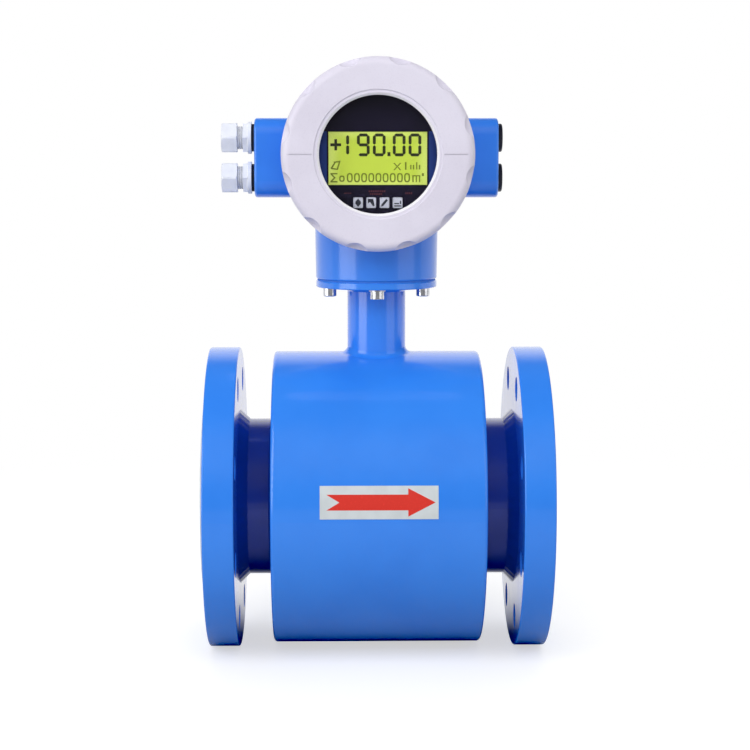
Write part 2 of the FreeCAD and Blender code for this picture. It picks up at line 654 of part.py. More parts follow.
def head_screws():
    """Socket head screws that hold the transmitter down from below."""
    screws = []
    for place in head_screw_places():
        seat = place - UP * WASHER_THICKNESS
        length = WASHER_THICKNESS + PLATE_THICKNESS + GASKET_THICKNESS + HEAD_SCREW_GRIP_LENGTH
        shank = cylinder(HEAD_SCREW_DIAMETER, length, seat, UP)
        cap = turned([
            (0, 0),
            (HEAD_SCREW_CAP_DIAMETER / 2, 0),
            (HEAD_SCREW_CAP_DIAMETER / 2, HEAD_SCREW_CAP_HEIGHT, HEAD_SCREW_CAP_HEIGHT / 8),
            (0, HEAD_SCREW_CAP_HEIGHT),
        ], seat, DOWN)
        socket_start = seat - UP * HEAD_SCREW_CAP_HEIGHT
        socket = extruded(hexagon(HEAD_SCREW_SOCKET_FLATS), HEAD_SCREW_SOCKET_DEPTH,
                          socket_start, UP, RIGHT)
        screws.append(shank.fuse(cap).cut(socket))
    return Part.makeCompound(screws)


def head_screw_washers():
    """Plain washers under the transmitter screws."""
    hole = HEAD_SCREW_DIAMETER + 2 * HEAD_SCREW_HOLE_CLEARANCE
    return Part.makeCompound([ring(WASHER_DIAMETER, hole, WASHER_THICKNESS, place, DOWN)
                              for place in head_screw_places()])


def flow_arrow_label():
    """Thin label bent round the front of the coil housing."""
    span = math.degrees(LABEL_HEIGHT / HOUSING_RADIUS)
    start = Vector(CENTRE_X - LABEL_LENGTH / 2, -HOUSING_RADIUS, 0)
    edge = Part.makePolygon([
        start,
        start + RIGHT * LABEL_LENGTH,
        start + RIGHT * LABEL_LENGTH + FRONT * LABEL_THICKNESS,
        start + FRONT * LABEL_THICKNESS,
        start,
    ])
    label = Part.Face(edge).revolve(Vector(0, 0, 0), LEFT, span)
    label.rotate(Vector(0, 0, 0), LEFT, LABEL_LIFT_ANGLE - span / 2)
    return label


# ---- transmitter housing ----
def entry_prism(inset, reach, rounding):
    """Rounded bar along X that the cable entry blocks are cut from."""
    corners = rectangle(ENTRY_BLOCK_DEPTH - 2 * inset, ENTRY_BLOCK_HEIGHT - 2 * inset,
                        ENTRY_BLOCK_CORNER_RADIUS - inset)
    bar = extruded(corners, 2 * reach, ENTRY_CENTRE + LEFT * reach, RIGHT)
    if rounding == 0:
        return bar
    ends = [edge for edge in bar.Edges if edge.BoundBox.XLength < 1e-3]
    return bar.makeFillet(rounding, ends)


def blended_drum():
    """Plain drum with the entry blocks, blended into each other as cast."""
    length = 2 * (COVER_SEAT_DISTANCE - COLLAR_THICKNESS / 2)
    drum = cylinder(DRUM_DIAMETER, length, HEAD + BACK * (length / 2), FRONT)
    body = drum.fuse(entry_prism(0, ENTRY_BLOCK_REACH, ENTRY_BLOCK_EDGE_RADIUS))
    block_end = ENTRY_BLOCK_REACH - ENTRY_BLOCK_EDGE_RADIUS
    junction = []
    for edge in body.Edges:
        box = edge.BoundBox
        inside = box.XMin > CENTRE_X - block_end + 1 and box.XMax < CENTRE_X + block_end - 1
        if inside and box.YLength < length / 2 and box.DiagonalLength < DRUM_DIAMETER / 2:
            junction.append(edge)
    return body.makeFillet(CAST_BLEND_RADIUS, junction)


def housing_castings():
    """Outside of the housing: drum with collars and spigots, foot and entry blocks."""
    seat = COVER_SEAT_DISTANCE
    tip = seat + SPIGOT_LENGTH
    neck = seat - COLLAR_THICKNESS
    spigot = SPIGOT_DIAMETER / 2
    collar = COLLAR_DIAMETER / 2
    drum = DRUM_DIAMETER / 2
    half = [
        (spigot, tip, 0.8),
        (spigot, seat),
        (collar, seat, 1.0),
        (collar, neck, 1.5),
        (drum, neck, 3.0),
    ]
    mirrored = [(corner[0], -corner[1]) + tuple(corner[2:]) for corner in reversed(half)]
    drum_solid = turned([(0, tip)] + half + mirrored + [(0, -tip)], HEAD, FRONT)
    foot_rise = FOOT_NECK_HEIGHT + DRUM_DIAMETER * 0.2
    foot = turned([
        (0, 0),
        (FOOT_BASE_RADIUS, 0, FOOT_EDGE_RADIUS),
        (FOOT_TOP_RADIUS, foot_rise),
        (0, foot_rise),
    ], Vector(CENTRE_X, 0, FOOT_BASE), UP)
    return drum_solid.fuse([foot, blended_drum()]).removeSplitter()


def housing_hollows():
    """Everything cast or bored out of the housing."""
    tip = COVER_SEAT_DISTANCE + SPIGOT_LENGTH
    front_room = cylinder(COMPARTMENT_DIAMETER, tip - PARTITION_FRONT,
                          HEAD + FRONT * PARTITION_FRONT, FRONT)
    rear_room = cylinder(COMPARTMENT_DIAMETER, tip + PARTITION_BACK,
                         HEAD + FRONT * PARTITION_BACK, BACK)
    pocket = entry_prism(ENTRY_BLOCK_WALL, ENTRY_BLOCK_REACH - ENTRY_WALL_THICKNESS, 0)
    hollows = [front_room, rear_room, pocket]
    for side in (LEFT, RIGHT):
        for level in (-1, 1):
            mouth = ENTRY_CENTRE + side * ENTRY_BLOCK_REACH + UP * (level * ENTRY_SPACING / 2)
            hollows.append(cylinder(ENTRY_THREAD_DIAMETER, ENTRY_WALL_THICKNESS + 1, mouth,
                                    side * -1))
    cavity_top = FOOT_NECK_HEIGHT - FOOT_ROOF_GAP
    cavity_radius = FOOT_BASE_RADIUS - FOOT_WALL
    cavity = turned([
        (0, 0),
        (FOOT_SEAT_OPENING / 2, 0),
        (FOOT_SEAT_OPENING / 2, FOOT_SEAT_THICKNESS),
        (cavity_radius, FOOT_SEAT_THICKNESS),
        (cavity_radius, cavity_top),
        (0, cavity_top),
    ], Vector(CENTRE_X, 0, FOOT_BASE), UP)
    hollows.append(cavity)
    well_top = HEAD_HEIGHT - COMPARTMENT_DIAMETER / 2 + CABLE_WELL_RISE
    hollows.append(cylinder(FOOT_SEAT_OPENING, well_top - FOOT_BASE - FOOT_SEAT_THICKNESS,
                            Vector(CENTRE_X, 0, FOOT_BASE + FOOT_SEAT_THICKNESS), UP))
    return hollows


def fixing_places(depth):
    """Centres of the board fixings at a distance in front of the transmitter axis."""
    radius = BOARD_FIXING_CIRCLE / 2
    places = []
    for step in range(BOARD_FIXING_COUNT):
        turn = Rotation(FRONT, 360 * (step + 0.5) / BOARD_FIXING_COUNT)
        places.append(HEAD + FRONT * depth + turn.multVec(UP * radius))
    return places


def housing_bosses():
    """Bosses for the transmitter screws and for both circuit boards."""
    bosses = []
    for place in head_screw_places():
        bosses.append(cylinder(FOOT_BOSS_DIAMETER, FOOT_BOSS_HEIGHT + 1,
                               Vector(place.x, place.y, FOOT_BASE + FOOT_SEAT_THICKNESS - 1), UP))
    for place in fixing_places(PARTITION_FRONT - 1):
        bosses.append(cylinder(BOARD_BOSS_DIAMETER, MAIN_BOARD_BOSS_HEIGHT + 1, place, FRONT))
    for place in fixing_places(PARTITION_BACK + 1):
        bosses.append(cylinder(BOARD_BOSS_DIAMETER, TERMINAL_BOARD_BOSS_HEIGHT + 1, place, BACK))
    return bosses


def transmitter_housing():
    """Cast two-room housing on its foot, with threaded cable entries on both sides."""
    body = minus(housing_castings(), housing_hollows())
    body = body.fuse(housing_bosses())
    taps = []
    for place in head_screw_places():
        taps.append(cylinder(HEAD_SCREW_DIAMETER, HEAD_SCREW_GRIP_LENGTH,
                             Vector(place.x, place.y, FOOT_BASE), UP))
    for place in fixing_places(MAIN_BOARD_BACK):
        taps.append(cylinder(BOARD_FIXING_DIAMETER, BOARD_FIXING_DEPTH, place, BACK))
    for place in fixing_places(TERMINAL_BOARD_FRONT):
        taps.append(cylinder(BOARD_FIXING_DIAMETER, BOARD_FIXING_DEPTH, place, FRONT))
    return minus(body, taps)


# ---- covers ----
def finger_notches(seat, axis, depth):
    """Tools for the finger notches round the outer edge of a cover."""
    tool_radius = NOTCH_TOOL_DIAMETER / 2
    centre_radius = NOTCH_FLOOR_FRACTION * COVER_RADIUS + tool_radius
    start = seat + axis * (depth - NOTCH_DEPTH) + UP * centre_radius
    tool = turned([
        (0, 0),
        (tool_radius, 0, NOTCH_FLOOR_RADIUS),
        (tool_radius, NOTCH_DEPTH + 1),
        (0, NOTCH_DEPTH + 1),
    ], start, axis)
    return around(tool, NOTCH_COUNT, -NOTCH_FIRST_ANGLE, seat, axis)


def seal_groove(seat, axis):
    """Groove for the seal in the back face of a cover."""
    width = SEAL_WIDTH + 2 * SEAL_CLEARANCE
    return ring(SEAL_MEAN_DIAMETER + width, SEAL_MEAN_DIAMETER - width,
                SEAL_HEIGHT + SEAL_CLEARANCE, seat, axis)


def front_cover():
    """Threaded window cover with finger notches, bevelled window and fine seam lines."""
    seat = HEAD + FRONT * COVER_SEAT_DISTANCE
    window = WINDOW_DIAMETER / 2
    bevel = window + WINDOW_BEVEL_WIDTH
    step = bevel + WINDOW_STEP_WIDTH
    floor = FRONT_COVER_DEPTH - WINDOW_STEP_DEPTH
    corners = [
        (COVER_BORE_RADIUS, 0),
        (COVER_RADIUS, 0, COVER_BACK_RADIUS),
        (COVER_RADIUS, FRONT_COVER_DEPTH, COVER_EDGE_RADIUS),
        (step + WINDOW_STEP_DEPTH, FRONT_COVER_DEPTH),
        (step, floor),
        (bevel, floor),
        (window, floor - WINDOW_BEVEL_DEPTH),
        (window, FRONT_COVER_DEPTH - FRONT_PLATE_THICKNESS),
        (GLASS_POCKET_RADIUS, FRONT_COVER_DEPTH - FRONT_PLATE_THICKNESS),
        (GLASS_POCKET_RADIUS, COVER_THREAD_DEPTH),
        (COVER_BORE_RADIUS, COVER_THREAD_DEPTH),
    ]
    blank = turned(corners, seat, FRONT)
    tools = finger_notches(seat, FRONT, FRONT_COVER_DEPTH)
    tools.append(seal_groove(seat, FRONT))
    seam_start = step + 2 * WINDOW_STEP_DEPTH
    seam_length = COVER_RADIUS - seam_start
    seam = extruded(rectangle(seam_length, SEAM_WIDTH), SEAM_DEPTH + 1,
                    seat + FRONT * (FRONT_COVER_DEPTH - SEAM_DEPTH)
                    + RIGHT * (seam_start + seam_length / 2), FRONT)
    tools += around(seam, 2, 0, seat, FRONT)
    return minus(blank, tools)


def window_gasket():
    """Flat ring between the glass and the front plate of the cover."""
    seat = HEAD + FRONT * (COVER_SEAT_DISTANCE + GLASS_FRONT)
    return ring(GLASS_DIAMETER, WINDOW_DIAMETER + 2 * WINDOW_GASKET_LAP,
                WINDOW_GASKET_THICKNESS, seat, FRONT)


def window_glass():
    """Toughened round glass."""
    seat = HEAD + FRONT * (COVER_SEAT_DISTANCE + GLASS_BACK)
    return cylinder(GLASS_DIAMETER, GLASS_THICKNESS, seat, FRONT)


def window_retaining_ring():
    """Threaded ring that presses the glass forwards, with two spanner slots."""
    thickness = GLASS_BACK - COVER_THREAD_DEPTH
    seat = HEAD + FRONT * (COVER_SEAT_DISTANCE + COVER_THREAD_DEPTH)
    outside = 2 * (GLASS_POCKET_RADIUS - RETAINING_RING_CLEARANCE)
    body = ring(outside, RETAINING_RING_OPENING, thickness, seat, FRONT)
    slot = extruded(rectangle(outside, SPANNER_SLOT_WIDTH), thickness / 2, seat, FRONT)
    return body.cut(slot)


def rear_cover():
    """Threaded blind cover of the terminal room, slightly crowned."""
    seat = HEAD + BACK * COVER_SEAT_DISTANCE
    shoulder = REAR_COVER_DEPTH - REAR_COVER_CROWN
    corners = [
        (0, COVER_THREAD_DEPTH),
        (COVER_BORE_RADIUS, COVER_THREAD_DEPTH),
        (COVER_BORE_RADIUS, 0),
        (COVER_RADIUS, 0, COVER_BACK_RADIUS),
        (COVER_RADIUS, shoulder, COVER_EDGE_RADIUS),
        (0, REAR_COVER_DEPTH),
    ]
    tools = finger_notches(seat, BACK, REAR_COVER_DEPTH)
    tools.append(seal_groove(seat, BACK))
    return minus(turned(corners, seat, BACK), tools)


def cover_o_ring(axis):
    """Pressed seal between a cover and the housing collar."""
    inner = (SEAL_MEAN_DIAMETER - SEAL_WIDTH) / 2
    outer = (SEAL_MEAN_DIAMETER + SEAL_WIDTH) / 2
    corners = [
        (inner, 0, 0.3),
        (outer, 0, 0.3),
        (outer, SEAL_HEIGHT, 0.9),
        (inner, SEAL_HEIGHT, 0.9),
    ]
    return turned(corners, HEAD + axis * COVER_SEAT_DISTANCE, axis)


# ---- display ----
def key_place(index, depth):
    """Centre of one key at a distance in front of the transmitter axis."""
    offset = (index - (KEY_COUNT - 1) / 2) * KEY_PITCH
    return HEAD + FRONT * depth + RIGHT * offset + DOWN * KEY_DROP


def display_fascia():
    """Round printed fascia with the screen opening, key holes and countersunk fixings."""
    plate = cylinder(FASCIA_DIAMETER, FASCIA_THICKNESS, HEAD + FRONT * FASCIA_BACK, FRONT)
    tools = [extruded(rectangle(SCREEN_WIDTH, SCREEN_HEIGHT), FASCIA_THICKNESS,
                      HEAD + FRONT * FASCIA_BACK + DOWN * SCREEN_DROP, FRONT)]
    for index in range(KEY_COUNT):
        tools.append(extruded(rectangle(KEY_WIDTH + 2 * KEY_CLEARANCE,
                                        KEY_HEIGHT + 2 * KEY_CLEARANCE,
                                        KEY_CORNER_RADIUS + KEY_CLEARANCE),
                              FASCIA_THICKNESS, key_place(index, FASCIA_BACK), FRONT))
    tools += [countersunk_screw(place) for place in fixing_places(FASCIA_FRONT)]
    return minus(plate, tools)


def countersunk_screw(place):
    """Flush screw through the fascia, without its drive slot."""
    radius = BOARD_FIXING_DIAMETER / 2
    length = FASCIA_THICKNESS + BOARD_FIXING_DEPTH
    corners = [
        (0, 0),
        (2 * radius, 0),
        (radius, radius),
        (radius, length),
        (0, length),
    ]
    return turned(corners, place, BACK)


def fascia_screws():
    """Four flush slotted screws that hold the fascia."""
    screws = []
    for place in fixing_places(FASCIA_FRONT):
        slot = extruded(rectangle(2 * BOARD_FIXING_DIAMETER, 0.6), 0.6, place, BACK)
        screws.append(countersunk_screw(place).cut(slot))
    return Part.makeCompound(screws)


def standoffs(start, end, bored_from_front, stud_length):
    """Four round spacers between two planes, each with a stud behind it."""
    pieces = []
    for place in fixing_places(start):
        body = cylinder(STANDOFF_DIAMETER, end - start, place, FRONT)
        stud = cylinder(BOARD_FIXING_DIAMETER, stud_length, place, BACK)
        bore = cylinder(BOARD_FIXING_DIAMETER, bored_from_front,
                        place + FRONT * (end - start - bored_from_front), FRONT)
        pieces.append(body.cut(bore).fuse(stud))
    return Part.makeCompound(pieces)


def board(back):
    """Round circuit board with its four fixing holes."""
    blank = cylinder(BOARD_DIAMETER, BOARD_THICKNESS, HEAD + FRONT * back, FRONT)
    holes = [cylinder(BOARD_FIXING_DIAMETER, BOARD_THICKNESS, place, FRONT)
             for place in fixing_places(back)]
    return minus(blank, holes)


def lcd_panel():
    """Liquid crystal module whose raised face fills the fascia opening."""
    centre = HEAD + DOWN * SCREEN_DROP
    module = extruded(rectangle(SCREEN_WIDTH + 2 * SCREEN_FRAME,
                                SCREEN_HEIGHT + 2 * SCREEN_FRAME),
                      DISPLAY_BOARD_GAP, centre + FRONT * DISPLAY_BOARD_FRONT, FRONT)
    face = extruded(rectangle(SCREEN_WIDTH - 2 * SCREEN_CLEARANCE,
                              SCREEN_HEIGHT - 2 * SCREEN_CLEARANCE),
                    FASCIA_THICKNESS - SCREEN_SETBACK, centre + FRONT * FASCIA_BACK, FRONT)
    return module.fuse(face)


def display_board():
    """Display board with the push switches behind the keys."""
    parts = [board(DISPLAY_BOARD_BACK)]
    for index in range(KEY_COUNT):
        place = key_place(index, DISPLAY_BOARD_FRONT)
        parts.append(extruded(rectangle(SWITCH_SIZE, SWITCH_SIZE), SWITCH_BODY_HEIGHT, place,
                              FRONT))
        parts.append(cylinder(KEY_STEM_DIAMETER, SWITCH_BODY_HEIGHT + SWITCH_PLUNGER_HEIGHT,
                              place, FRONT))
    return fused(parts)


def display_key(index):
    """Key cap with the lip that keeps it behind the fascia and a stem to its switch."""
    lip_front = FASCIA_BACK - KEY_LIP_GAP
    lip_back = lip_front - KEY_LIP_THICKNESS
    stem_back = (DISPLAY_BOARD_FRONT + SWITCH_BODY_HEIGHT + SWITCH_PLUNGER_HEIGHT
                 + KEY_TRAVEL_GAP)
    cap = extruded(rectangle(KEY_WIDTH, KEY_HEIGHT, KEY_CORNER_RADIUS),
                   FASCIA_FRONT + KEY_STAND_OUT - lip_back, key_place(index, lip_back), FRONT)
    lip = extruded(rectangle(KEY_WIDTH + 2 * KEY_LIP, KEY_HEIGHT + 2 * KEY_LIP),
                   KEY_LIP_THICKNESS, key_place(index, lip_back), FRONT)
    stem = cylinder(KEY_STEM_DIAMETER, lip_back - stem_back, key_place(index, stem_back), FRONT)
    return fused([cap, lip, stem])


# ---- electronics ----
def main_board():
    """Converter board with its transformer, capacitors and the harness socket."""
    parts = [board(MAIN_BOARD_BACK)]
    front = HEAD + FRONT * MAIN_BOARD_FRONT
    parts.append(extruded(rectangle(TRANSFORMER_WIDTH, TRANSFORMER_HEIGHT, 2.0),
                          TRANSFORMER_DEPTH, front + RIGHT * (TRANSFORMER_WIDTH * 0.55), FRONT))
    for level in (-1, 0, 1):
        place = front + LEFT * (TRANSFORMER_WIDTH * 0.7) + UP * (level * TRANSFORMER_HEIGHT / 2)
        parts.append(cylinder(TRANSFORMER_HEIGHT * 0.4, TRANSFORMER_DEPTH * 0.8, place, FRONT))
    socket_centre = Vector(CENTRE_X + HARNESS_OFFSET, 0,
                           PLUG_SOCKET_BOTTOM + PLUG_SOCKET_HEIGHT / 2)
    parts.append(extruded(rectangle(PLUG_SOCKET_WIDTH, PLUG_SOCKET_HEIGHT),
                          MAIN_BOARD_BOSS_HEIGHT - 0.5, socket_centre + FRONT * MAIN_BOARD_BACK,
                          BACK))
    return fused(parts)


def terminal_board():
    """Bare carrier board of the terminal block."""
    return board(TERMINAL_BOARD_BACK)


def terminal_places():
    """Centres of the terminal screws, on the rear face of the block."""
    rear = HEAD + FRONT * (TERMINAL_BOARD_BACK - TERMINAL_BLOCK_DEPTH)
    row = rear + DOWN * TERMINAL_BLOCK_DROP
    middle = (TERMINAL_COUNT - 1) / 2
    return [row + RIGHT * ((index - middle) * TERMINAL_PITCH) for index in range(TERMINAL_COUNT)]


def terminal_block():
    """Stepped terminal strip with a screw well and a wire mouth for every terminal."""
    width = TERMINAL_COUNT * TERMINAL_PITCH
    centre = HEAD + FRONT * TERMINAL_BOARD_BACK + DOWN * TERMINAL_BLOCK_DROP
    blank = extruded(rectangle(width, TERMINAL_BLOCK_HEIGHT), TERMINAL_BLOCK_DEPTH, centre, BACK)
    tools = []
    for place in terminal_places():
        tools.append(cylinder(TERMINAL_SCREW_DIAMETER + 1, TERMINAL_SCREW_DEPTH + 1, place, FRONT))
        mouth = place + FRONT * (TERMINAL_BLOCK_DEPTH / 2) + DOWN * (TERMINAL_BLOCK_HEIGHT / 2)
        tools.append(extruded(rectangle(TERMINAL_PITCH * 0.6, TERMINAL_BLOCK_DEPTH * 0.3), 4,
                              mouth, UP, BACK))
    return minus(blank, tools)


def terminal_screws():
    """Slotted clamping screws, one for each terminal."""
    screws = []
    for place in terminal_places():
        head = cylinder(TERMINAL_SCREW_DIAMETER, TERMINAL_SCREW_DEPTH, place + FRONT, FRONT)
        slot = extruded(rectangle(TERMINAL_SCREW_DIAMETER, 0.8), 1, place + FRONT, FRONT)
        screws.append(head.cut(slot))
    return Part.makeCompound(screws)


def terminal_board_screws():
    """Pan head screws that hold the terminal board to its bosses."""
    screws = []
    for place in fixing_places(TERMINAL_BOARD_BACK):
        head = cylinder(2 * BOARD_FIXING_DIAMETER, BOARD_FIXING_DIAMETER * 0.6, place, BACK)
        shank = cylinder(BOARD_FIXING_DIAMETER, BOARD_THICKNESS + BOARD_FIXING_DEPTH, place,
                         FRONT)
        slot = extruded(rectangle(2 * BOARD_FIXING_DIAMETER, 0.8), 0.8,
                        place + BACK * (BOARD_FIXING_DIAMETER * 0.6), FRONT)
        screws.append(head.fuse(shank).cut(slot))
    return Part.makeCompound(screws)


# ---- harness from the sensor to the converter ----
def rounded_path(points):
    """Wire of straight runs joined by tangent arcs as large as their runs allow."""
    edges = []
    start = points[0]
    for before, here, after in zip(points, points[1:], points[2:]):
        back = (before - here)
        ahead = (after - here)
        shorter = min(back.Length, ahead.Length)
        back.normalize()
        ahead.normalize()
        half_turn = (math.pi - back.getAngle(ahead)) / 2
        reach = 0.45 * shorter
        radius = reach / math.tan(half_turn)
        inward = (back + ahead).normalize()
        middle = here + inward * (radius / math.cos(half_turn) - radius)
        edges.append(Part.makeLine(start, here + back * reach))
        edges.append(Part.Arc(here + back * reach, middle, here + ahead * reach).toShape())
        start = here + ahead * reach
        print(f"harness bend radius {radius:.1f}")
    edges.append(Part.makeLine(start, points[-1]))
    return Part.Wire(edges)


def sensor_harness():
    """Sheathed leads from the coil bobbin up the stem to the socket of the main board."""
    x = CENTRE_X + HARNESS_OFFSET
    board_side = -(PARTITION_FRONT + MAIN_BOARD_BOSS_HEIGHT / 2)
    points = [
        Vector(x, 0, BOBBIN_TOP),
        Vector(x, 0, (BOBBIN_TOP + STEM_TOP_HEIGHT) / 2),
        Vector(x, -2, STEM_TOP_HEIGHT + 10),
        Vector(x, board_side, HEAD_HEIGHT - COMPARTMENT_DIAMETER / 2),
        Vector(x, board_side, PLUG_SOCKET_BOTTOM),
    ]
    path = rounded_path(points)
    circle = Part.makeCircle(HARNESS_DIAMETER / 2, points[0], points[1] - points[0])
    return path.makePipeShell([Part.Wire(circle)], True, False)


# ---- cable glands ----
def entry_mouth(side, level):
    """Centre of one threaded cable entry on the end face of its block."""
    return ENTRY_CENTRE + side * ENTRY_BLOCK_REACH + UP * (level * ENTRY_SPACING / 2)


def gland_body(level):
    """Gland body: entry thread, collar, hexagon, neck and the socket for the seal."""
    mouth = entry_mouth(LEFT, level)
    thread = ENTRY_THREAD_DIAMETER / 2
    collar_start = GLAND_WASHER_THICKNESS
    hex_start = collar_start + GLAND_COLLAR_THICKNESS
    hex_end = hex_start + GLAND_HEX_LENGTH
    neck = GLAND_NECK_DIAMETER / 2
    body = turned([
        (0, -GLAND_ENTRY_LENGTH),
        (thread, -GLAND_ENTRY_LENGTH),
        (thread, collar_start),
        (GLAND_COLLAR_DIAMETER / 2, collar_start),
        (GLAND_COLLAR_DIAMETER / 2, hex_start, 0.6),
        (neck, hex_start),
        (neck, GLAND_BODY_END),
        (0, GLAND_BODY_END),
    ], mouth, LEFT)
    hexagon_bar = extruded(hexagon(GLAND_HEX_FLATS), hex_end - hex_start,
                           mouth + LEFT * hex_start, LEFT)
    socket_start = mouth + LEFT * (GLAND_BODY_END - GLAND_SOCKET_DEPTH)
    bore = cylinder(GLAND_BORE_DIAMETER, GLAND_BODY_END + GLAND_ENTRY_LENGTH,
                    mouth + RIGHT * GLAND_ENTRY_LENGTH, LEFT)
    socket = cylinder(GLAND_SOCKET_DIAMETER, GLAND_SOCKET_DEPTH, socket_start, LEFT)
    return minus(body.fuse(hexagon_bar), [bore, socket])


def gland_washers():
    """Rubber washers between the glands and the entry block."""
    return Part.makeCompound([
        ring(GLAND_WASHER_DIAMETER, ENTRY_THREAD_DIAMETER, GLAND_WASHER_THICKNESS,
             entry_mouth(LEFT, level), LEFT)
        for level in (-1, 1)])


def gland_nut(level):
    """Hexagonal cap nut with rounded nose and a clear hole for the cable."""
    start = entry_mouth(LEFT, level) + LEFT * GLAND_NUT_START
    corner_radius = GLAND_NUT_FLATS / math.sqrt(3)
    blank = extruded(hexagon(GLAND_NUT_FLATS), GLAND_NUT_LENGTH, start, LEFT)
    envelope = turned([
        (0, 0),
        (corner_radius * 0.97, 0, GLAND_NUT_ROUNDING / 2),
        (corner_radius * 0.97, GLAND_NUT_LENGTH, GLAND_NUT_ROUNDING),
        (0, GLAND_NUT_LENGTH),
    ], start, LEFT)
    thread = GLAND_NECK_DIAMETER / 2 + THREAD_CLEARANCE
    inside = turned([
        (0, 0),
        (thread, 0),
        (thread, GLAND_NUT_LENGTH - GLAND_NUT_WALL),
        (GLAND_NUT_OPENING / 2, GLAND_NUT_LENGTH - GLAND_NUT_WALL),
        (GLAND_NUT_OPENING / 2, GLAND_NUT_LENGTH),
        (0, GLAND_NUT_LENGTH),
    ], start, LEFT)
    return blank.common(envelope).cut(inside)


def gland_seal(level):
    """Rubber bush that closes round the cable."""
    start = GLAND_BODY_END - GLAND_SOCKET_DEPTH + GLAND_SEAL_GAP
    end = GLAND_NUT_START + GLAND_NUT_LENGTH - GLAND_NUT_WALL - GLAND_SEAL_GAP
    outside = GLAND_SOCKET_DIAMETER / 2 - GLAND_SEAL_GAP
    corners = [
        (CABLE_DIAMETER / 2, start),
        (outside, start),
        (outside, end, 0.6),
        (CABLE_DIAMETER / 2, end),
    ]
    return turned(corners, entry_mouth(LEFT, level), LEFT)


# ---- blanking plugs ----
def blanking_plug(level):
    """Low plug with a screwdriver slot that closes a spare cable entry."""
    mouth = entry_mouth(RIGHT, level)
    thread = ENTRY_THREAD_DIAMETER / 2 - THREAD_CLEARANCE
    head = PLUG_HEAD_DIAMETER / 2
    top = PLUG_SEAL_THICKNESS + PLUG_HEAD_THICKNESS
    blank = turned([
        (0, -PLUG_THREAD_LENGTH),
        (thread, -PLUG_THREAD_LENGTH, 0.8),
        (thread, PLUG_SEAL_THICKNESS),
        (head, PLUG_SEAL_THICKNESS),
        (head, top, PLUG_HEAD_EDGE_RADIUS),
        (0, top),
    ], mouth, RIGHT)
    slot = extruded(rectangle(PLUG_HEAD_DIAMETER * 0.7, PLUG_SLOT_WIDTH), PLUG_SLOT_DEPTH,
                    mouth + RIGHT * top, LEFT)
    return blank.cut(slot)


def plug_seal(level):
    """Flat seal under the head of a blanking plug."""
    return ring(PLUG_SEAL_DIAMETER, ENTRY_THREAD_DIAMETER, PLUG_SEAL_THICKNESS,
                entry_mouth(RIGHT, level), RIGHT)


# ---- the whole instrument ----
def sensor_pieces():
    """Pieces of the flanged sensor, by name."""
    far_face = FACE_TO_FACE - LINER_FLARE_THICKNESS
    return {
        "inlet_flange": flange(LINER_FLARE_THICKNESS, RIGHT),
        "outlet_flange": flange(far_face, LEFT),
        "measuring_tube": measuring_tube(),
        "liner": liner(),
        "coil_housing_shell": coil_housing_shell(),
        "inlet_end_plate": end_plate(HOUSING_START, RIGHT),
        "outlet_end_plate": end_plate(HOUSING_START + HOUSING_LENGTH, LEFT),
        "upper_pole_shoe": pole_shoe(UP),
        "lower_pole_shoe": pole_shoe(DOWN),
        "upper_bobbin": bobbin(UP),
        "lower_bobbin": bobbin(DOWN),
        "upper_coil": coil_winding(UP),
        "lower_coil": coil_winding(DOWN),
        "magnetic_yoke": magnetic_yoke(),
        "front_electrode": electrode(FRONT),
        "rear_electrode": electrode(BACK),
        "front_electrode_insulator": electrode_insulator(FRONT),
        "rear_electrode_insulator": electrode_insulator(BACK),
        "electrode_nuts": electrode_nuts(),
        "sensor_harness": sensor_harness(),
        "flow_arrow_label": flow_arrow_label(),
    }


def stem_pieces():
    """Pieces between the sensor and the transmitter, by name."""
    return {
        "stem_tube": stem_tube(),
        "stem_top_plate": stem_top_plate(),
        "plate_gasket": plate_gasket(),
        "head_screws": head_screws(),
        "head_screw_washers": head_screw_washers(),
    }


def transmitter_pieces():
    """Pieces of the transmitter, by name."""
    pieces = {
        "transmitter_housing": transmitter_housing(),
        "front_cover": front_cover(),
        "front_cover_o_ring": cover_o_ring(FRONT),
        "window_glass": window_glass(),
        "window_gasket": window_gasket(),
        "window_retaining_ring": window_retaining_ring(),
        "rear_cover": rear_cover(),
        "rear_cover_o_ring": cover_o_ring(BACK),
        "display_fascia": display_fascia(),
        "fascia_screws": fascia_screws(),
        "lcd_panel": lcd_panel(),
        "display_board": display_board(),
        "fascia_standoffs": standoffs(DISPLAY_BOARD_FRONT, FASCIA_BACK, BOARD_FIXING_DEPTH,
                                      BOARD_THICKNESS + BOARD_FIXING_DEPTH),
        "display_standoffs": standoffs(MAIN_BOARD_FRONT, DISPLAY_BOARD_BACK, BOARD_FIXING_DEPTH,
                                       BOARD_THICKNESS + BOARD_FIXING_DEPTH),
        "main_board": main_board(),
        "terminal_board": terminal_board(),
        "terminal_block": terminal_block(),
        "terminal_screws": terminal_screws(),
        "terminal_board_screws": terminal_board_screws(),
        "gland_washers": gland_washers(),
    }
    for index in range(KEY_COUNT):
        pieces[f"display_key_{index + 1}"] = display_key(index)
    for name, level in (("upper", 1), ("lower", -1)):
        pieces[f"{name}_gland_body"] = gland_body(level)
        pieces[f"{name}_gland_nut"] = gland_nut(level)
        pieces[f"{name}_gland_seal"] = gland_seal(level)
        pieces[f"{name}_blanking_plug"] = blanking_plug(level)
        pieces[f"{name}_plug_seal"] = plug_seal(level)
    return pieces


def main():
    """Build every piece and write one STEP file for each."""
    os.makedirs("parts", exist_ok=True)
    pieces = {**sensor_pieces(), **stem_pieces(), **transmitter_pieces()}
    for name, shape in pieces.items():
        shape.exportStep(f"parts/{name}.step")
        print(f"{name}: {len(shape.Solids)} solid, {shape.Volume / 1000:.2f} cm3, "
              f"valid {shape.isValid()}")


main()
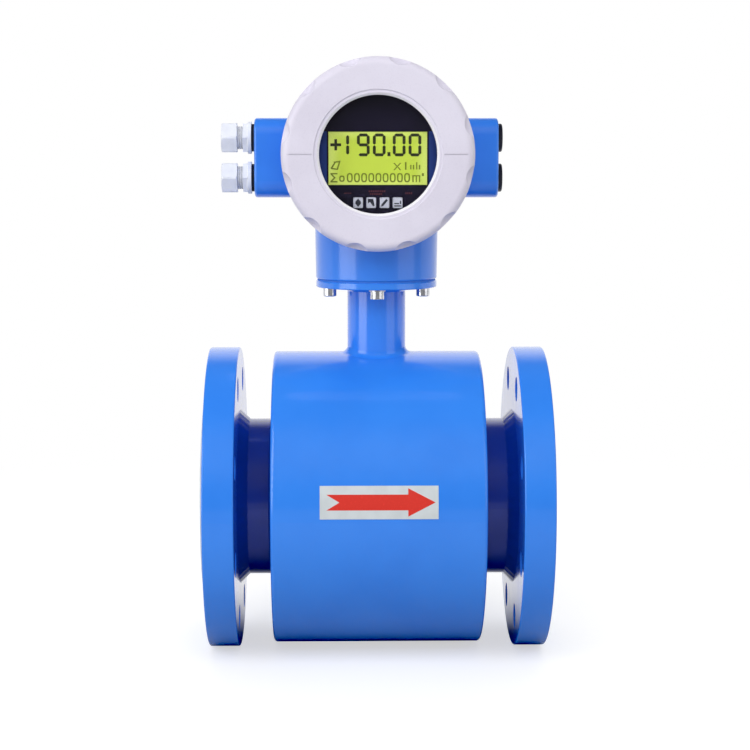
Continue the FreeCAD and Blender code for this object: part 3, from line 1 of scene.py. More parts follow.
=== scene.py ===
import logging
import math
from dataclasses import dataclass
from enum import Enum
from typing import ClassVar, NamedTuple, Sequence

import bmesh
import bpy
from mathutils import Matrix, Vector


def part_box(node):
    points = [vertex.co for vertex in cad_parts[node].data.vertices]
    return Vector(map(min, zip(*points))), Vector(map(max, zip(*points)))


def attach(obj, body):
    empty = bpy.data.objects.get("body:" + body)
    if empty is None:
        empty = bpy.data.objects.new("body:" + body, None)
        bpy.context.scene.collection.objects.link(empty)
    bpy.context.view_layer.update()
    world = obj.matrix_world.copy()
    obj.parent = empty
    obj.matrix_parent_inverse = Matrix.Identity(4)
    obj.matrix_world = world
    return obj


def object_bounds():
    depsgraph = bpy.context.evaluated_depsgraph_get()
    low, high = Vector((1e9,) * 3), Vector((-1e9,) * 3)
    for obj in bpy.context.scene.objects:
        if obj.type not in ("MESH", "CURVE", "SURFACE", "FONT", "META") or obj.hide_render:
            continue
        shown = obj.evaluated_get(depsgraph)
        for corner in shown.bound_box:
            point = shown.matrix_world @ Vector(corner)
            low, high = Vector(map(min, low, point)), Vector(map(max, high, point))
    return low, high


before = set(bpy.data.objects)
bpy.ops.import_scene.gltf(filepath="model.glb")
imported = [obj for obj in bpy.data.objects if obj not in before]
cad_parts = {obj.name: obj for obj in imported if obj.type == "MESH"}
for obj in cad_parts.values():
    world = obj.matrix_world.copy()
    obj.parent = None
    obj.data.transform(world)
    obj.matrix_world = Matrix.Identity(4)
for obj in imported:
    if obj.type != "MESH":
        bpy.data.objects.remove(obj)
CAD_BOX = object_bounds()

LOG = logging.getLogger("flow_meter")
MM = 0.001
COARSE, PLAIN, FINE = 1.0, 2.0, 3.0  # layers of detail in a noise
WHITE = (1.0, 1.0, 1.0)
Colour = tuple[float, float, float]
Tones = tuple[Colour, Colour]
Point = tuple[float, float, float]
Span = tuple[float, float]
Bar = tuple[float, float, float, float]
Outline = list[tuple[float, float]]


def srgb(red: int, green: int, blue: int) -> Colour:
    """Linear colour of an 8-bit display colour.

    Args:
        red: Red channel, 0 to 255.
        green: Green channel, 0 to 255.
        blue: Blue channel, 0 to 255.

    Returns:
        The three linear channels, 0 to 1.
    """
    def linear(channel: int) -> float:
        """Linear value of one 8-bit channel."""
        share = channel / 255
        return share / 12.92 if share <= 0.04045 else ((share + 0.055) / 1.055) ** 2.4
    return linear(red), linear(green), linear(blue)


def scaled(colour: Colour, share: float) -> Colour:
    """Colour with each channel multiplied by a share."""
    return tuple(channel * share for channel in colour)


def centre_of(node: str) -> Vector:
    """Middle of a node's box, in metres."""
    low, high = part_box(node)
    return (low + high) / 2


# ---- shader expressions ----
class Signal:
    """Node socket that takes part in arithmetic; each operation adds a Math node."""

    def __init__(self, graph: "ShaderGraph", socket: bpy.types.NodeSocket) -> None:
        """Wrap an output socket of a graph."""
        self.graph = graph
        self.socket = socket

    def _math(self, operation: str, *values: "Signal | float") -> "Signal":
        """Math node of the given operation on the given values."""
        return self.graph.node("ShaderNodeMath", {"operation": operation},
                               dict(enumerate(values)))

    def __add__(self, other: "Signal | float") -> "Signal":
        """Sum."""
        return self._math("ADD", self, other)

    def __radd__(self, other: float) -> "Signal":
        """Reflected sum."""
        return self._math("ADD", other, self)

    def __sub__(self, other: "Signal | float") -> "Signal":
        """Difference."""
        return self._math("SUBTRACT", self, other)

    def __rsub__(self, other: float) -> "Signal":
        """Reflected difference."""
        return self._math("SUBTRACT", other, self)

    def __mul__(self, other: "Signal | float") -> "Signal":
        """Product."""
        return self._math("MULTIPLY", self, other)

    def __rmul__(self, other: float) -> "Signal":
        """Reflected product."""
        return self._math("MULTIPLY", other, self)

    def __truediv__(self, other: "Signal | float") -> "Signal":
        """Quotient."""
        return self._math("DIVIDE", self, other)

    def __rtruediv__(self, other: float) -> "Signal":
        """Reflected quotient."""
        return self._math("DIVIDE", other, self)

    def __pow__(self, other: "Signal | float") -> "Signal":
        """Power."""
        return self._math("POWER", self, other)

    def __abs__(self) -> "Signal":
        """Absolute value."""
        return self._math("ABSOLUTE", self)

    def sine(self) -> "Signal":
        """Sine of an angle in radians."""
        return self._math("SINE", self)

    def swing(self) -> "Signal":
        """Sine of an angle, moved to run between 0 and 1."""
        return self.sine() * 0.5 + 0.5

    def wave(self, period: float) -> "Signal":
        """Value that swings between 0 and 1 once in each period."""
        return (self * (2 * math.pi / period)).swing()

    def root(self) -> "Signal":
        """Square root."""
        return self._math("SQRT", self)

    def angle_over(self, other: "Signal") -> "Signal":
        """Angle of the point (other, self) round the origin, in radians."""
        return self._math("ARCTAN2", self, other)

    def at_most(self, other: "Signal | float") -> "Signal":
        """Smaller of two values."""
        return self._math("MINIMUM", self, other)

    def at_least(self, other: "Signal | float") -> "Signal":
        """Larger of two values."""
        return self._math("MAXIMUM", self, other)

    def ramp(self, start: float, end: float) -> "Signal":
        """Smooth step from 0 to 1 between two values, falling where start is larger.

        Args:
            start: Value at which the result is 0.
            end: Value at which the result is 1.

        Returns:
            The smoothed share.
        """
        return self.graph.node(
            "ShaderNodeMapRange", {"interpolation_type": "SMOOTHSTEP"},
            {"Value": self, "From Min": start, "From Max": end,
             "To Min": 0.0, "To Max": 1.0})

    def within(self, low: float, high: float, soft: float) -> "Signal":
        """Share that is 1 between two values and 0 outside them, with soft borders."""
        return self.ramp(low - soft, low + soft) * self.ramp(high + soft, high - soft)


class ShaderGraph:
    """Node tree of one material or world, filled by expressions."""

    def __init__(self, tree: bpy.types.ShaderNodeTree) -> None:
        """Empty the tree that is to be filled."""
        self.tree = tree
        tree.nodes.clear()

    def node(self, kind: str, settings: dict | None = None, inputs: dict | None = None,
             output: int | str = 0) -> Signal:
        """Add one node.

        Args:
            kind: Node type name.
            settings: Node properties, such as a Math node's operation, set first.
            inputs: Values or signals by socket name or number.
            output: Name or number of the socket that is returned.

        Returns:
            The chosen output as a signal.
        """
        made = self.tree.nodes.new(kind)
        for name, value in (settings or {}).items():
            setattr(made, name, value)
        for name, value in (inputs or {}).items():
            socket = made.inputs[name]
            if isinstance(value, Signal):
                self.tree.links.new(value.socket, socket)
            elif isinstance(value, tuple) and len(value) == 3 and socket.type == "RGBA":
                socket.default_value = (*value, 1.0)
            else:
                socket.default_value = value
        return Signal(self, made.outputs[output])

    def place(self) -> Signal:
        """Position in the part's own frame, in metres."""
        return self.node("ShaderNodeTexCoord", output="Object")

    def axes(self) -> tuple[Signal, Signal, Signal]:
        """Split the position into its coordinates.

        Returns:
            The places along X, Y and Z, in metres.
        """
        split = self.node("ShaderNodeSeparateXYZ", inputs={0: self.place()})
        outputs = split.socket.node.outputs
        return tuple(Signal(self, outputs[index]) for index in range(3))

    def noise(self, size: float, detail: float = PLAIN,
              stretch: Point = (1.0, 1.0, 1.0), lift: float = 0.5) -> Signal:
        """Cloudy value between 0 and 1.

        Args:
            size: Size of the largest feature, in metres.
            detail: Number of finer layers.
            stretch: Factor on the frequency along each axis.
            lift: Share of the finer layers.

        Returns:
            The noise value.
        """
        spot = self.node("ShaderNodeVectorMath", {"operation": "MULTIPLY"},
                         {0: self.place(), 1: stretch})
        return self.node("ShaderNodeTexNoise", {"noise_dimensions": "3D"},
                         {"Vector": spot, "Scale": 1 / size, "Detail": detail,
                          "Roughness": lift})

    def blend(self, share: Signal | float, first: Signal | Colour,
              second: Signal | Colour) -> Signal:
        """Colour between two others by a share."""
        return self.node("ShaderNodeMix", {"data_type": "RGBA"},
                         {0: share, 6: first, 7: second}, 2)

    def bump(self, height: Signal, depth: float) -> Signal:
        """Normal raised by a height between 0 and 1.

        Args:
            height: Relief.
            depth: Depth of the relief in metres.

        Returns:
            The bent normal.
        """
        return self.node("ShaderNodeBump", None,
                         {"Strength": 1.0, "Distance": depth, "Height": height})

    def surface(self, shader: Signal) -> None:
        """Connect a shader to the material output."""
        self.node_output("ShaderNodeOutputMaterial", shader)

    def node_output(self, kind: str, shader: Signal) -> None:
        """Add an output node and connect a shader to it."""
        made = self.tree.nodes.new(kind)
        self.tree.links.new(shader.socket, made.inputs["Surface"])


class Axis(Enum):
    """Direction that a turned or threaded surface runs round."""

    X = 0
    Y = 1
    Z = 2


def distance_from_axis(graph: ShaderGraph, axis: Axis, centre: Vector) -> Signal:
    """Distance of the shaded point from an axis.

    Args:
        graph: Graph that gets the nodes.
        axis: Direction of the axis.
        centre: Point on the axis, in metres.

    Returns:
        The distance in metres.
    """
    coordinates = graph.axes()
    others = [index for index in range(3) if index != axis.value]
    first, second = (coordinates[index] - centre[index] for index in others)
    return (first * first + second * second).root()


# ---- finishes ----
@dataclass(frozen=True)
class Cloud:
    """Soft noise that rises from nothing to its share between two of its values."""

    size: float
    detail: float = FINE
    start: float = 0.35
    end: float = 0.7
    share: float = 1.0
    lift: float = 0.5
    stretch: Point = (1.0, 1.0, 1.0)

    def mask(self, graph: ShaderGraph) -> Signal:
        """Value that reaches the share inside the clouds."""
        value = graph.noise(self.size, self.detail, self.stretch, self.lift)
        return value.ramp(self.start, self.end) * self.share


class Varying(NamedTuple):
    """Value that changes with a pattern, from its base by a swing."""

    base: float
    swing: float

    def over(self, pattern: Signal) -> Signal:
        """Value where the pattern runs from 0 to 1."""
        return self.base + pattern * self.swing


@dataclass(frozen=True)
class Finish:
    """A surface finish that can dress any piece."""

    title: str
    made: ClassVar[dict] = {}

    def material(self) -> bpy.types.Material:
        """Make the material at the first call and keep it.

        Returns:
            The material of this finish.
        """
        if self not in Finish.made:
            material = bpy.data.materials.new(self.title)
            material.use_nodes = True
            graph = ShaderGraph(material.node_tree)
            graph.surface(self.shade(graph))
            Finish.made[self] = material
        return Finish.made[self]

    def shade(self, graph: ShaderGraph) -> Signal:
        """Build the shader; each kind of finish gives its own."""
        raise NotImplementedError

    @staticmethod
    def principled(graph: ShaderGraph, **values: "Signal | float | Colour") -> Signal:
        """Principled shader.

        Args:
            graph: Graph that gets the node.
            values: Socket values, with underscores for the spaces in their names.

        Returns:
            The shader.
        """
        named = {name.replace("_", " "): value for name, value in values.items()}
        return graph.node("ShaderNodeBsdfPrincipled", None, named)


@dataclass(frozen=True)
class GlossPaint(Finish):
    """Sprayed or powder-coated paint with a faint orange peel."""

    colour: Colour
    shade_colour: Colour
    roughness: float = 0.2
    gloss_size: float = 14 * MM
    gloss_swing: float = 0.1
    coat: float = 0.6
    coat_roughness: float = 0.07
    peel_size: float = 1.6 * MM
    peel_depth: float = 0.008 * MM
    patches: Cloud = Cloud(60 * MM, share=0.75)
    flecks: Cloud = Cloud(0.5 * MM, COARSE, 0.45, 0.8, 0.12)

    def shade(self, graph: ShaderGraph) -> Signal:
        """Two close tones in soft patches, with an uneven gloss.

        Args:
            graph: Graph that gets the nodes.

        Returns:
            The shader.
        """
        tone = self.patches.mask(graph) + self.flecks.mask(graph)
        gloss = (graph.noise(self.gloss_size, FINE) * self.gloss_swing
                 + (self.roughness - self.gloss_swing / 2))
        peel = graph.noise(self.peel_size)
        return self.principled(
            graph, Base_Color=graph.blend(tone, self.colour, self.shade_colour),
            Roughness=gloss, Coat_Weight=self.coat, Coat_Roughness=self.coat_roughness,
            Normal=graph.bump(peel, self.peel_depth))


@dataclass(frozen=True)
class CastPaint(GlossPaint):
    """Paint on a casting, with the machined threads beyond its collars left bare."""

    roughness: float = 0.26
    gloss_size: float = 12 * MM
    coat_roughness: float = 0.1
    peel_size: float = 2.4 * MM
    peel_depth: float = 0.032 * MM
    patches: Cloud = Cloud(50 * MM)
    centre: Point = (0.0, 0.0, 0.0)
    collar_end: float = 0.0
    collar_edge: float = 0.1 * MM
    pitch: float = 2.0 * MM
    thread_root: float = 57 * MM
    thread_edge: float = 1.0 * MM
    thread_depth: float = 0.4 * MM
    tool_mark: float = 0.4 * MM
    bare_roughness: float = 0.06
    bright: Colour = srgb(196, 197, 202)
    dull: Colour = srgb(150, 151, 158)

    def shade(self, graph: ShaderGraph) -> Signal:
        """Painted casting outside, turned and threaded metal under the covers.

        Args:
            graph: Graph that gets the nodes.

        Returns:
            The shader.
        """
        _, y, _ = graph.axes()
        radius = distance_from_axis(graph, Axis.Y, Vector(self.centre))
        collar = abs(self.collar_end)
        bare = abs(y).ramp(collar - self.collar_edge, collar + self.collar_edge)
        painted = 1 - bare
        flank = radius.ramp(self.thread_root, self.thread_root + self.thread_edge)
        thread = y.wave(self.pitch) * flank
        paint = graph.blend(self.patches.mask(graph), self.colour, self.shade_colour)
        metal = graph.blend(graph.noise(self.tool_mark), self.bright, self.dull)
        peel = graph.noise(self.peel_size, FINE) * (self.peel_depth / self.thread_depth)
        gloss = (self.roughness + graph.noise(self.gloss_size, FINE) * self.gloss_swing
                 + bare * self.bare_roughness)
        return self.principled(
            graph, Base_Color=graph.blend(bare, paint, metal), Metallic=bare,
            Roughness=gloss, Coat_Weight=painted * self.coat,
            Coat_Roughness=self.coat_roughness,
            Normal=graph.bump(bare * thread + painted * peel, self.thread_depth))


@dataclass(frozen=True)
class KnurledCap(Finish):
    """Bright socket cap screws, knurled round the heads."""

    centre: Point
    circle: float
    cap_radius: float = 5 * MM
    rim: Span = (0.86, 0.95)
    teeth: int = 30
    knurl_depth: float = 0.02 * MM
    smear_size: float = 2 * MM
    smear_edge: Span = (0.35, 0.75)
    roughness: Varying = Varying(0.1, 0.08)
    bright: Colour = srgb(226, 227, 232)
    dull: Colour = srgb(196, 198, 206)

    def shade(self, graph: ShaderGraph) -> Signal:
        """Plated steel whose knurl runs round each of four screws on a circle.

        Args:
            graph: Graph that gets the nodes.

        Returns:
            The shader.
        """
        x, y, _ = graph.axes()
        across = abs(x - self.centre[0])
        along = abs(y - self.centre[1])
        outward = across.at_least(along) - self.circle
        aside = across.at_most(along)
        reach = (outward * outward + aside * aside).root()
        side = reach.ramp(self.cap_radius * self.rim[0], self.cap_radius * self.rim[1])
        knurl = aside.angle_over(outward).wave(2 * math.pi / self.teeth)
        smears = graph.noise(self.smear_size, FINE)
        dulled = smears.ramp(*self.smear_edge)
        return self.principled(
            graph, Base_Color=graph.blend(dulled, self.bright, self.dull),
            Metallic=1.0, Roughness=self.roughness.over(smears),
            Normal=graph.bump(knurl * side, self.knurl_depth))


@dataclass(frozen=True)
class WeldedTubePaint(Finish):
    """Dark paint on the tube, rippled where the welds lie; its navy is partly the tube's own paint
    and partly painted shade from the flanges and housing round it.
    """

    colour: Colour
    deep: Colour
    length: float
    weld_ends: Span
    weld_edge: float = 0.4 * MM
    weld_radius: float = 64 * MM
    weld_share: float = 0.4
    ripple: float = 3.2 * MM
    wander: float = 2.4
    wander_size: float = 9 * MM
    sharpness: float = 0.6
    scale_share: float = 0.7
    lump_size: float = 5 * MM
    lump_share: float = 0.5
    peel_size: float = 1.8 * MM
    peel_share: float = 0.03
    relief: float = 0.35 * MM
    coat: float = 0.5
    coat_roughness: float = 0.08
    roughness: Varying = Varying(0.16, 0.1)
    patches: Cloud = Cloud(40 * MM, PLAIN, share=0.6)

    def shade(self, graph: ShaderGraph) -> Signal:
        """Smooth dark paint with weld ripples between the two distances from each end.

        Args:
            graph: Graph that gets the nodes.

        Returns:
            The shader.
        """
        x, y, z = graph.axes()
        inward = self.length / 2 - abs(x - self.length / 2)
        weld = inward.within(*self.weld_ends, self.weld_edge)
        turn = y.angle_over(z) * (2 * self.weld_radius / self.ripple)
        wandering = turn + graph.noise(self.wander_size) * self.wander
        scales = wandering.swing() ** self.sharpness
        lumps = graph.noise(self.lump_size)
        peel = graph.noise(self.peel_size)
        tone = (self.patches.mask(graph) + weld * self.weld_share).at_most(1.0)
        beads = weld * (scales * self.scale_share + lumps * self.lump_share)
        height = beads + peel * self.peel_share
        return self.principled(
            graph, Base_Color=graph.blend(tone, self.colour, self.deep),
            Roughness=self.roughness.over(lumps),
            Coat_Weight=self.coat, Coat_Roughness=self.coat_roughness,
            Normal=graph.bump(height, self.relief))


@dataclass(frozen=True)
class PowderCoat(Finish):
    """Thick light powder coat with a fine leathery grain."""

    colour: Colour
    shade_colour: Colour
    roughness: Varying = Varying(0.42, 0.12)
    coat: float = 0.12
    coat_roughness: float = 0.25
    grain_size: float = 1.1 * MM
    grain_lift: float = 0.6
    grain_depth: float = 0.05 * MM
    pit_shade_edge: Span = (0.5, 0.25)
    pit_shade_share: float = 0.3
    patches: Cloud = Cloud(45 * MM, FINE, 0.3, 0.75, 0.55)

    def grain(self, graph: ShaderGraph) -> Signal:
        """Leathery grain of the coat."""
        return graph.noise(self.grain_size, FINE, lift=self.grain_lift)

    def tone(self, graph: ShaderGraph, grain: Signal) -> Signal:
        """Colour in soft patches, with painted shade darkening the pits of the grain."""
        share = self.patches.mask(graph) + grain.ramp(*self.pit_shade_edge) * self.pit_shade_share
        return graph.blend(share, self.colour, self.shade_colour)

    def shade(self, graph: ShaderGraph) -> Signal:
        """Pale coat with its grain all over.

        Args:
            graph: Graph that gets the nodes.

        Returns:
            The shader.
        """
        grain = self.grain(graph)
        return self.principled(
            graph, Base_Color=self.tone(graph, grain),
            Roughness=self.roughness.over(grain),
            Coat_Weight=self.coat, Coat_Roughness=self.coat_roughness,
            Normal=graph.bump(grain, self.grain_depth))


@dataclass(frozen=True)
class CoverCoat(PowderCoat):
    """Powder coat on a cover, with a painted highlight on the bevel round its window and painted
    shade in its seam grooves.
    """

    centre: Point = (0.0, 0.0, 0.0)
    bevel: Span = (40.9 * MM, 42.5 * MM)
    bevel_edge: float = 0.12 * MM
    bevel_highlight_share: float = 0.85
    bevel_polish: float = 0.2
    seam_span: Span = (45.8 * MM, 62.0 * MM)
    seam_edge: float = 0.6 * MM
    seam_half: float = 0.75 * MM
    seam_shade_share: float = 0.5
    # Painted highlight colour for the bevel round the window.
    bevel_highlight: Colour = srgb(243, 242, 247)
    # Painted shade colour for the seam grooves.
    seam_shade: Colour = srgb(158, 156, 168)

    def shade(self, graph: ShaderGraph) -> Signal:
        """The coat with its painted highlight ring and two painted shade seams laid out from the
        cover's axis.

        Args:
            graph: Graph that gets the nodes.

        Returns:
            The shader.
        """
        _, _, z = graph.axes()
        radius = distance_from_axis(graph, Axis.Y, Vector(self.centre))
        grain = self.grain(graph)
        ring = radius.within(*self.bevel, self.bevel_edge)
        # Painted shade: the two seam grooves are blended towards a darker colour.
        seam = (abs(z - self.centre[2]).ramp(self.seam_half, 0.0)
                * radius.within(*self.seam_span, self.seam_edge))
        seam_shaded = graph.blend(seam * self.seam_shade_share, self.tone(graph, grain), self.seam_shade)
        gloss = self.roughness.over(grain) - ring * self.bevel_polish
        # Painted highlight: the bevel ring round the window is blended towards a near-white colour.
        return self.principled(
            graph, Base_Color=graph.blend(ring * self.bevel_highlight_share, seam_shaded, self.bevel_highlight),
            Roughness=gloss, Coat_Weight=self.coat, Coat_Roughness=self.coat_roughness,
            Normal=graph.bump(grain * (1 - ring), self.grain_depth))


@dataclass(frozen=True)
class TurnedMetal(Finish):
    """Bare metal with fine tool marks round an axis."""

    colour: Colour
    roughness: float = 0.28
    axis: Axis = Axis.Z
    centre: Point = (0.0, 0.0, 0.0)
    mark_size: float = 0.25 * MM
    mark_depth: float = 0.01 * MM
    mark_swing: float = 0.12
    smear_size: float = 4 * MM
    smear_edge: Span = (0.35, 0.75)
    smear_swing: float = 0.06
    tarnish: float = 0.72

    def shade(self, graph: ShaderGraph) -> Signal:
        """Bright metal whose marks follow the distance from the axis.

        Args:
            graph: Graph that gets the nodes.

        Returns:
            The shader.
        """
        radius = distance_from_axis(graph, self.axis, Vector(self.centre))
        along = graph.axes()[self.axis.value]
        spot = graph.node("ShaderNodeCombineXYZ", None, {0: radius, 1: along, 2: 0.0})
        marks = graph.node("ShaderNodeTexNoise", {"noise_dimensions": "3D"},
                           {"Vector": spot, "Scale": 1 / self.mark_size,
                            "Detail": PLAIN})
        smears = graph.noise(self.smear_size, FINE)
        colour = graph.blend(smears.ramp(*self.smear_edge), self.colour,
                             scaled(self.colour, self.tarnish))
        gloss = self.roughness + marks * self.mark_swing + smears * self.smear_swing
        return self.principled(
            graph, Base_Color=colour, Metallic=1.0, Roughness=gloss,
            Normal=graph.bump(marks, self.mark_depth))


@dataclass(frozen=True)
class RolledSteel(Finish):
    """Dull rolled steel with a thin oxide film."""

    colour: Colour = srgb(112, 112, 116)
    stain: Colour = srgb(62, 58, 56)
    metallic: float = 0.85
    roughness: Varying = Varying(0.38, 0.2)
    streak_size: float = 3 * MM
    streak_stretch: Point = (0.1, 1.0, 1.0)
    streak_depth: float = 0.03 * MM
    stains: Cloud = Cloud(12 * MM, 4.0, 0.45, 0.75, 0.7)

    def shade(self, graph: ShaderGraph) -> Signal:
        """Grey metal with darker stains and streaks along the rolling direction.

        Args:
            graph: Graph that gets the nodes.

        Returns:
            The shader.
        """
        streaks = graph.noise(self.streak_size, FINE, self.streak_stretch)
        colour = graph.blend(self.stains.mask(graph), self.colour, self.stain)
        return self.principled(
            graph, Base_Color=colour, Metallic=self.metallic,
            Roughness=self.roughness.over(streaks),
            Normal=graph.bump(streaks, self.streak_depth))


@dataclass(frozen=True)
class MouldedPlastic(Finish):
    """Moulded plastic with a fine spark-eroded grain."""

    colour: Colour
    roughness: float = 0.4
    grain_size: float = 0.35 * MM
    scatter: float = 0.0
    scatter_radius: Point = (0.6 * MM, 0.6 * MM, 0.8 * MM)
    grain_depth: float = 0.01 * MM
    grain_share: float = 0.15
    grain_roughness: float = 0.12
    depth_of_tone: float = 0.86
    clouds: Cloud = Cloud(9 * MM, PLAIN, 0.3, 0.75, 0.6)

    def shade(self, graph: ShaderGraph) -> Signal:
        """Even colour, slightly cloudy, with a fine grain.

        Args:
            graph: Graph that gets the nodes.

        Returns:
            The shader.
        """
        grain = graph.noise(self.grain_size)
        tone = self.clouds.mask(graph) + grain * self.grain_share
        colour = graph.blend(tone, self.colour, scaled(self.colour, self.depth_of_tone))
        return self.principled(
            graph, Base_Color=colour,
            Roughness=self.roughness + grain * self.grain_roughness,
            Subsurface_Weight=self.scatter, Subsurface_Radius=self.scatter_radius,
            Normal=graph.bump(grain, self.grain_depth))


@dataclass(frozen=True)
class ThreadedPlastic(Finish):
    """Moulded plastic with a screw thread on the part near its axis."""

    colour: Colour
    axis: Axis
    centre: Point
    pitch: float
    thread_radius: float
    roughness: Varying = Varying(0.4, 0.12)
    scatter: float = 0.0
    scatter_radius: Point = (0.6 * MM, 0.6 * MM, 0.8 * MM)
    thread_span: Span = (0.93, 1.01)
    thread_edge: float = 0.1 * MM
    thread_depth: float = 0.4 * MM
    groove_shade_share: float = 0.8
    groove_shade_tone: float = 0.55
    cloud_tone: float = 0.8
    grain_size: float = 0.35 * MM
    grain_share: float = 0.03
    clouds: Cloud = Cloud(7 * MM, PLAIN, 0.3, 0.75, 0.6)

    def shade(self, graph: ShaderGraph) -> Signal:
        """Grained plastic; inside the thread radius the relief winds along the axis, with painted
        shade darkening its grooves.

        Args:
            graph: Graph that gets the nodes.

        Returns:
            The shader.
        """
        radius = distance_from_axis(graph, self.axis, Vector(self.centre))
        threaded = radius.within(self.thread_radius * self.thread_span[0],
                                 self.thread_radius * self.thread_span[1],
                                 self.thread_edge)
        coordinates = graph.axes()
        first, second = [coordinates[index] - self.centre[index] for index in range(3)
                         if index != self.axis.value]
        along = coordinates[self.axis.value] * (2 * math.pi / self.pitch)
        winding = (along + first.angle_over(second)).swing()
        grain = graph.noise(self.grain_size)
        base = graph.blend(self.clouds.mask(graph), self.colour,
                           scaled(self.colour, self.cloud_tone))
        # Painted shade: the thread's grooves are blended towards a darker copy of the colour.
        colour = graph.blend(threaded * (1 - winding) * self.groove_shade_share, base,
                             scaled(self.colour, self.groove_shade_tone))
        height = threaded * winding + (1 - threaded) * (grain * self.grain_share)
        return self.principled(
            graph, Base_Color=colour,
            Roughness=self.roughness.over(grain),
            Subsurface_Weight=self.scatter, Subsurface_Radius=self.scatter_radius,
            Normal=graph.bump(height, self.thread_depth))


@dataclass(frozen=True)
class Rubber(Finish):
    """Matt black rubber with a grey bloom."""

    colour: Colour = srgb(26, 27, 34)
    bloom: Colour = srgb(52, 53, 62)
    roughness: Varying = Varying(0.62, 0.2)
    grain_size: float = 0.3 * MM
    grain_depth: float = 0.02 * MM
    patches: Cloud = Cloud(6 * MM, 4.0, 0.4, 0.75, 0.6)

    def shade(self, graph: ShaderGraph) -> Signal:
        """Dark rubber, greyer in soft patches.

        Args:
            graph: Graph that gets the nodes.

        Returns:
            The shader.
        """
        grain = graph.noise(self.grain_size)
        colour = graph.blend(self.patches.mask(graph), self.colour, self.bloom)
        return self.principled(
            graph, Base_Color=colour, Roughness=self.roughness.over(grain),
            Normal=graph.bump(grain, self.grain_depth))


@dataclass(frozen=True)
class LinerPolymer(Finish):
    """Waxy white fluoropolymer with faint turning marks on its faces."""

    colour: Colour = srgb(232, 232, 228)
    handled: Colour = srgb(202, 203, 204)
    roughness: Varying = Varying(0.34, 0.14)
    scatter: float = 0.15
    scatter_radius: Point = (1.5 * MM, 1.5 * MM, 1.5 * MM)
    ring_pitch: float = 0.8 * MM
    ring_share: float = 0.5
    mark_share: float = 0.5
    relief: float = 0.02 * MM
    marks: Cloud = Cloud(16 * MM, 5.0, 0.5, 0.8, lift=0.65)

    def shade(self, graph: ShaderGraph) -> Signal:
        """Milky white with grey handling marks and rings from facing.

        Args:
            graph: Graph that gets the nodes.

        Returns:
            The shader.
        """
        radius = distance_from_axis(graph, Axis.X, Vector((0, 0, 0)))
        marks = self.marks.mask(graph)
        shown = marks * self.mark_share
        height = radius.wave(self.ring_pitch) * self.ring_share + shown
        return self.principled(
            graph, Base_Color=graph.blend(shown, self.colour, self.handled),
            Roughness=self.roughness.over(marks),
            Subsurface_Weight=self.scatter, Subsurface_Radius=self.scatter_radius,
            Normal=graph.bump(height, self.relief))


@dataclass(frozen=True)
class CoilWinding(Finish):
    """Enamelled copper wire wound in close turns round the vertical axis."""

    wire: float = 0.7 * MM
    relief: float = 0.2 * MM
    groove_edge: Span = (0.5, 0.1)
    tone_size: float = 5 * MM
    tone_edge: Span = (0.3, 0.7)
    metallic: float = 0.9
    roughness: Varying = Varying(0.28, 0.15)
    bright: Colour = srgb(190, 104, 52)
    dull: Colour = srgb(150, 76, 38)
    # Painted shade colour in the grooves between turns.
    between: Colour = srgb(58, 26, 14)

    def shade(self, graph: ShaderGraph) -> Signal:
        """Copper whose relief repeats at the wire's thickness, with painted shade in the grooves
        between turns.

        Args:
            graph: Graph that gets the nodes.

        Returns:
            The shader.
        """
        _, _, z = graph.axes()
        turns = abs((z * (math.pi / self.wire)).sine())
        tone = graph.noise(self.tone_size, FINE)
        copper = graph.blend(tone.ramp(*self.tone_edge), self.bright, self.dull)
        # Painted shade: the grooves between turns are blended towards the dark colour.
        groove_shaded = graph.blend(turns.ramp(*self.groove_edge), copper, self.between)
        return self.principled(
            graph, Base_Color=groove_shaded,
            Metallic=self.metallic, Roughness=self.roughness.over(tone),
            Normal=graph.bump(turns, self.relief))


@dataclass(frozen=True)
class Tracks:
    """Copper tracks side by side, each winding a little."""

    pitch: float
    sway_size: float
    sway: float
    edge: Span

    def mask(self, graph: ShaderGraph, across: Signal) -> Signal:
        """Lay the tracks out along a coordinate.

        Args:
            graph: Graph that gets the nodes.
            across: Place across the tracks, in metres.

        Returns:
            Share that is 1 on the tracks and 0 between them.
        """
        turn = across * (2 * math.pi / self.pitch)
        winding = turn + graph.noise(self.sway_size, COARSE) * self.sway
        return winding.sine().ramp(*self.edge)


@dataclass(frozen=True)
class CircuitBoard(Finish):
    """Green solder resist over copper tracks."""

    centre: Point
    upright: Tracks = Tracks(2.6 * MM, 11 * MM, 9.0, (0.72, 0.86))
    level: Tracks = Tracks(3.8 * MM, 14 * MM, 8.0, (0.78, 0.9))
    pad_pitch: float = 5.08 * MM
    pad_edge: Span = (0.9, 0.96)
    pad_metallic: float = 0.8
    track_height: float = 0.05 * MM
    roughness: Varying = Varying(0.36, -0.08)
    resist: Colour = srgb(14, 78, 44)
    track: Colour = srgb(34, 112, 64)
    pad: Colour = srgb(196, 190, 170)

    def shade(self, graph: ShaderGraph) -> Signal:
        """Dark green with raised, lighter tracks and bare pads.

        Args:
            graph: Graph that gets the nodes.

        Returns:
            The shader.
        """
        x, _, z = graph.axes()
        across, upward = x - self.centre[0], z - self.centre[2]
        upright = self.upright.mask(graph, across)
        track = upright.at_least(self.level.mask(graph, upward))
        turn = 2 * math.pi / self.pad_pitch
        grid = (across * turn).sine() * (upward * turn).sine()
        pads = grid.ramp(*self.pad_edge)
        green = graph.blend(track, self.resist, self.track)
        return self.principled(
            graph, Base_Color=graph.blend(pads, green, self.pad),
            Metallic=pads * self.pad_metallic, Roughness=self.roughness.over(track),
            Normal=graph.bump(track, self.track_height))


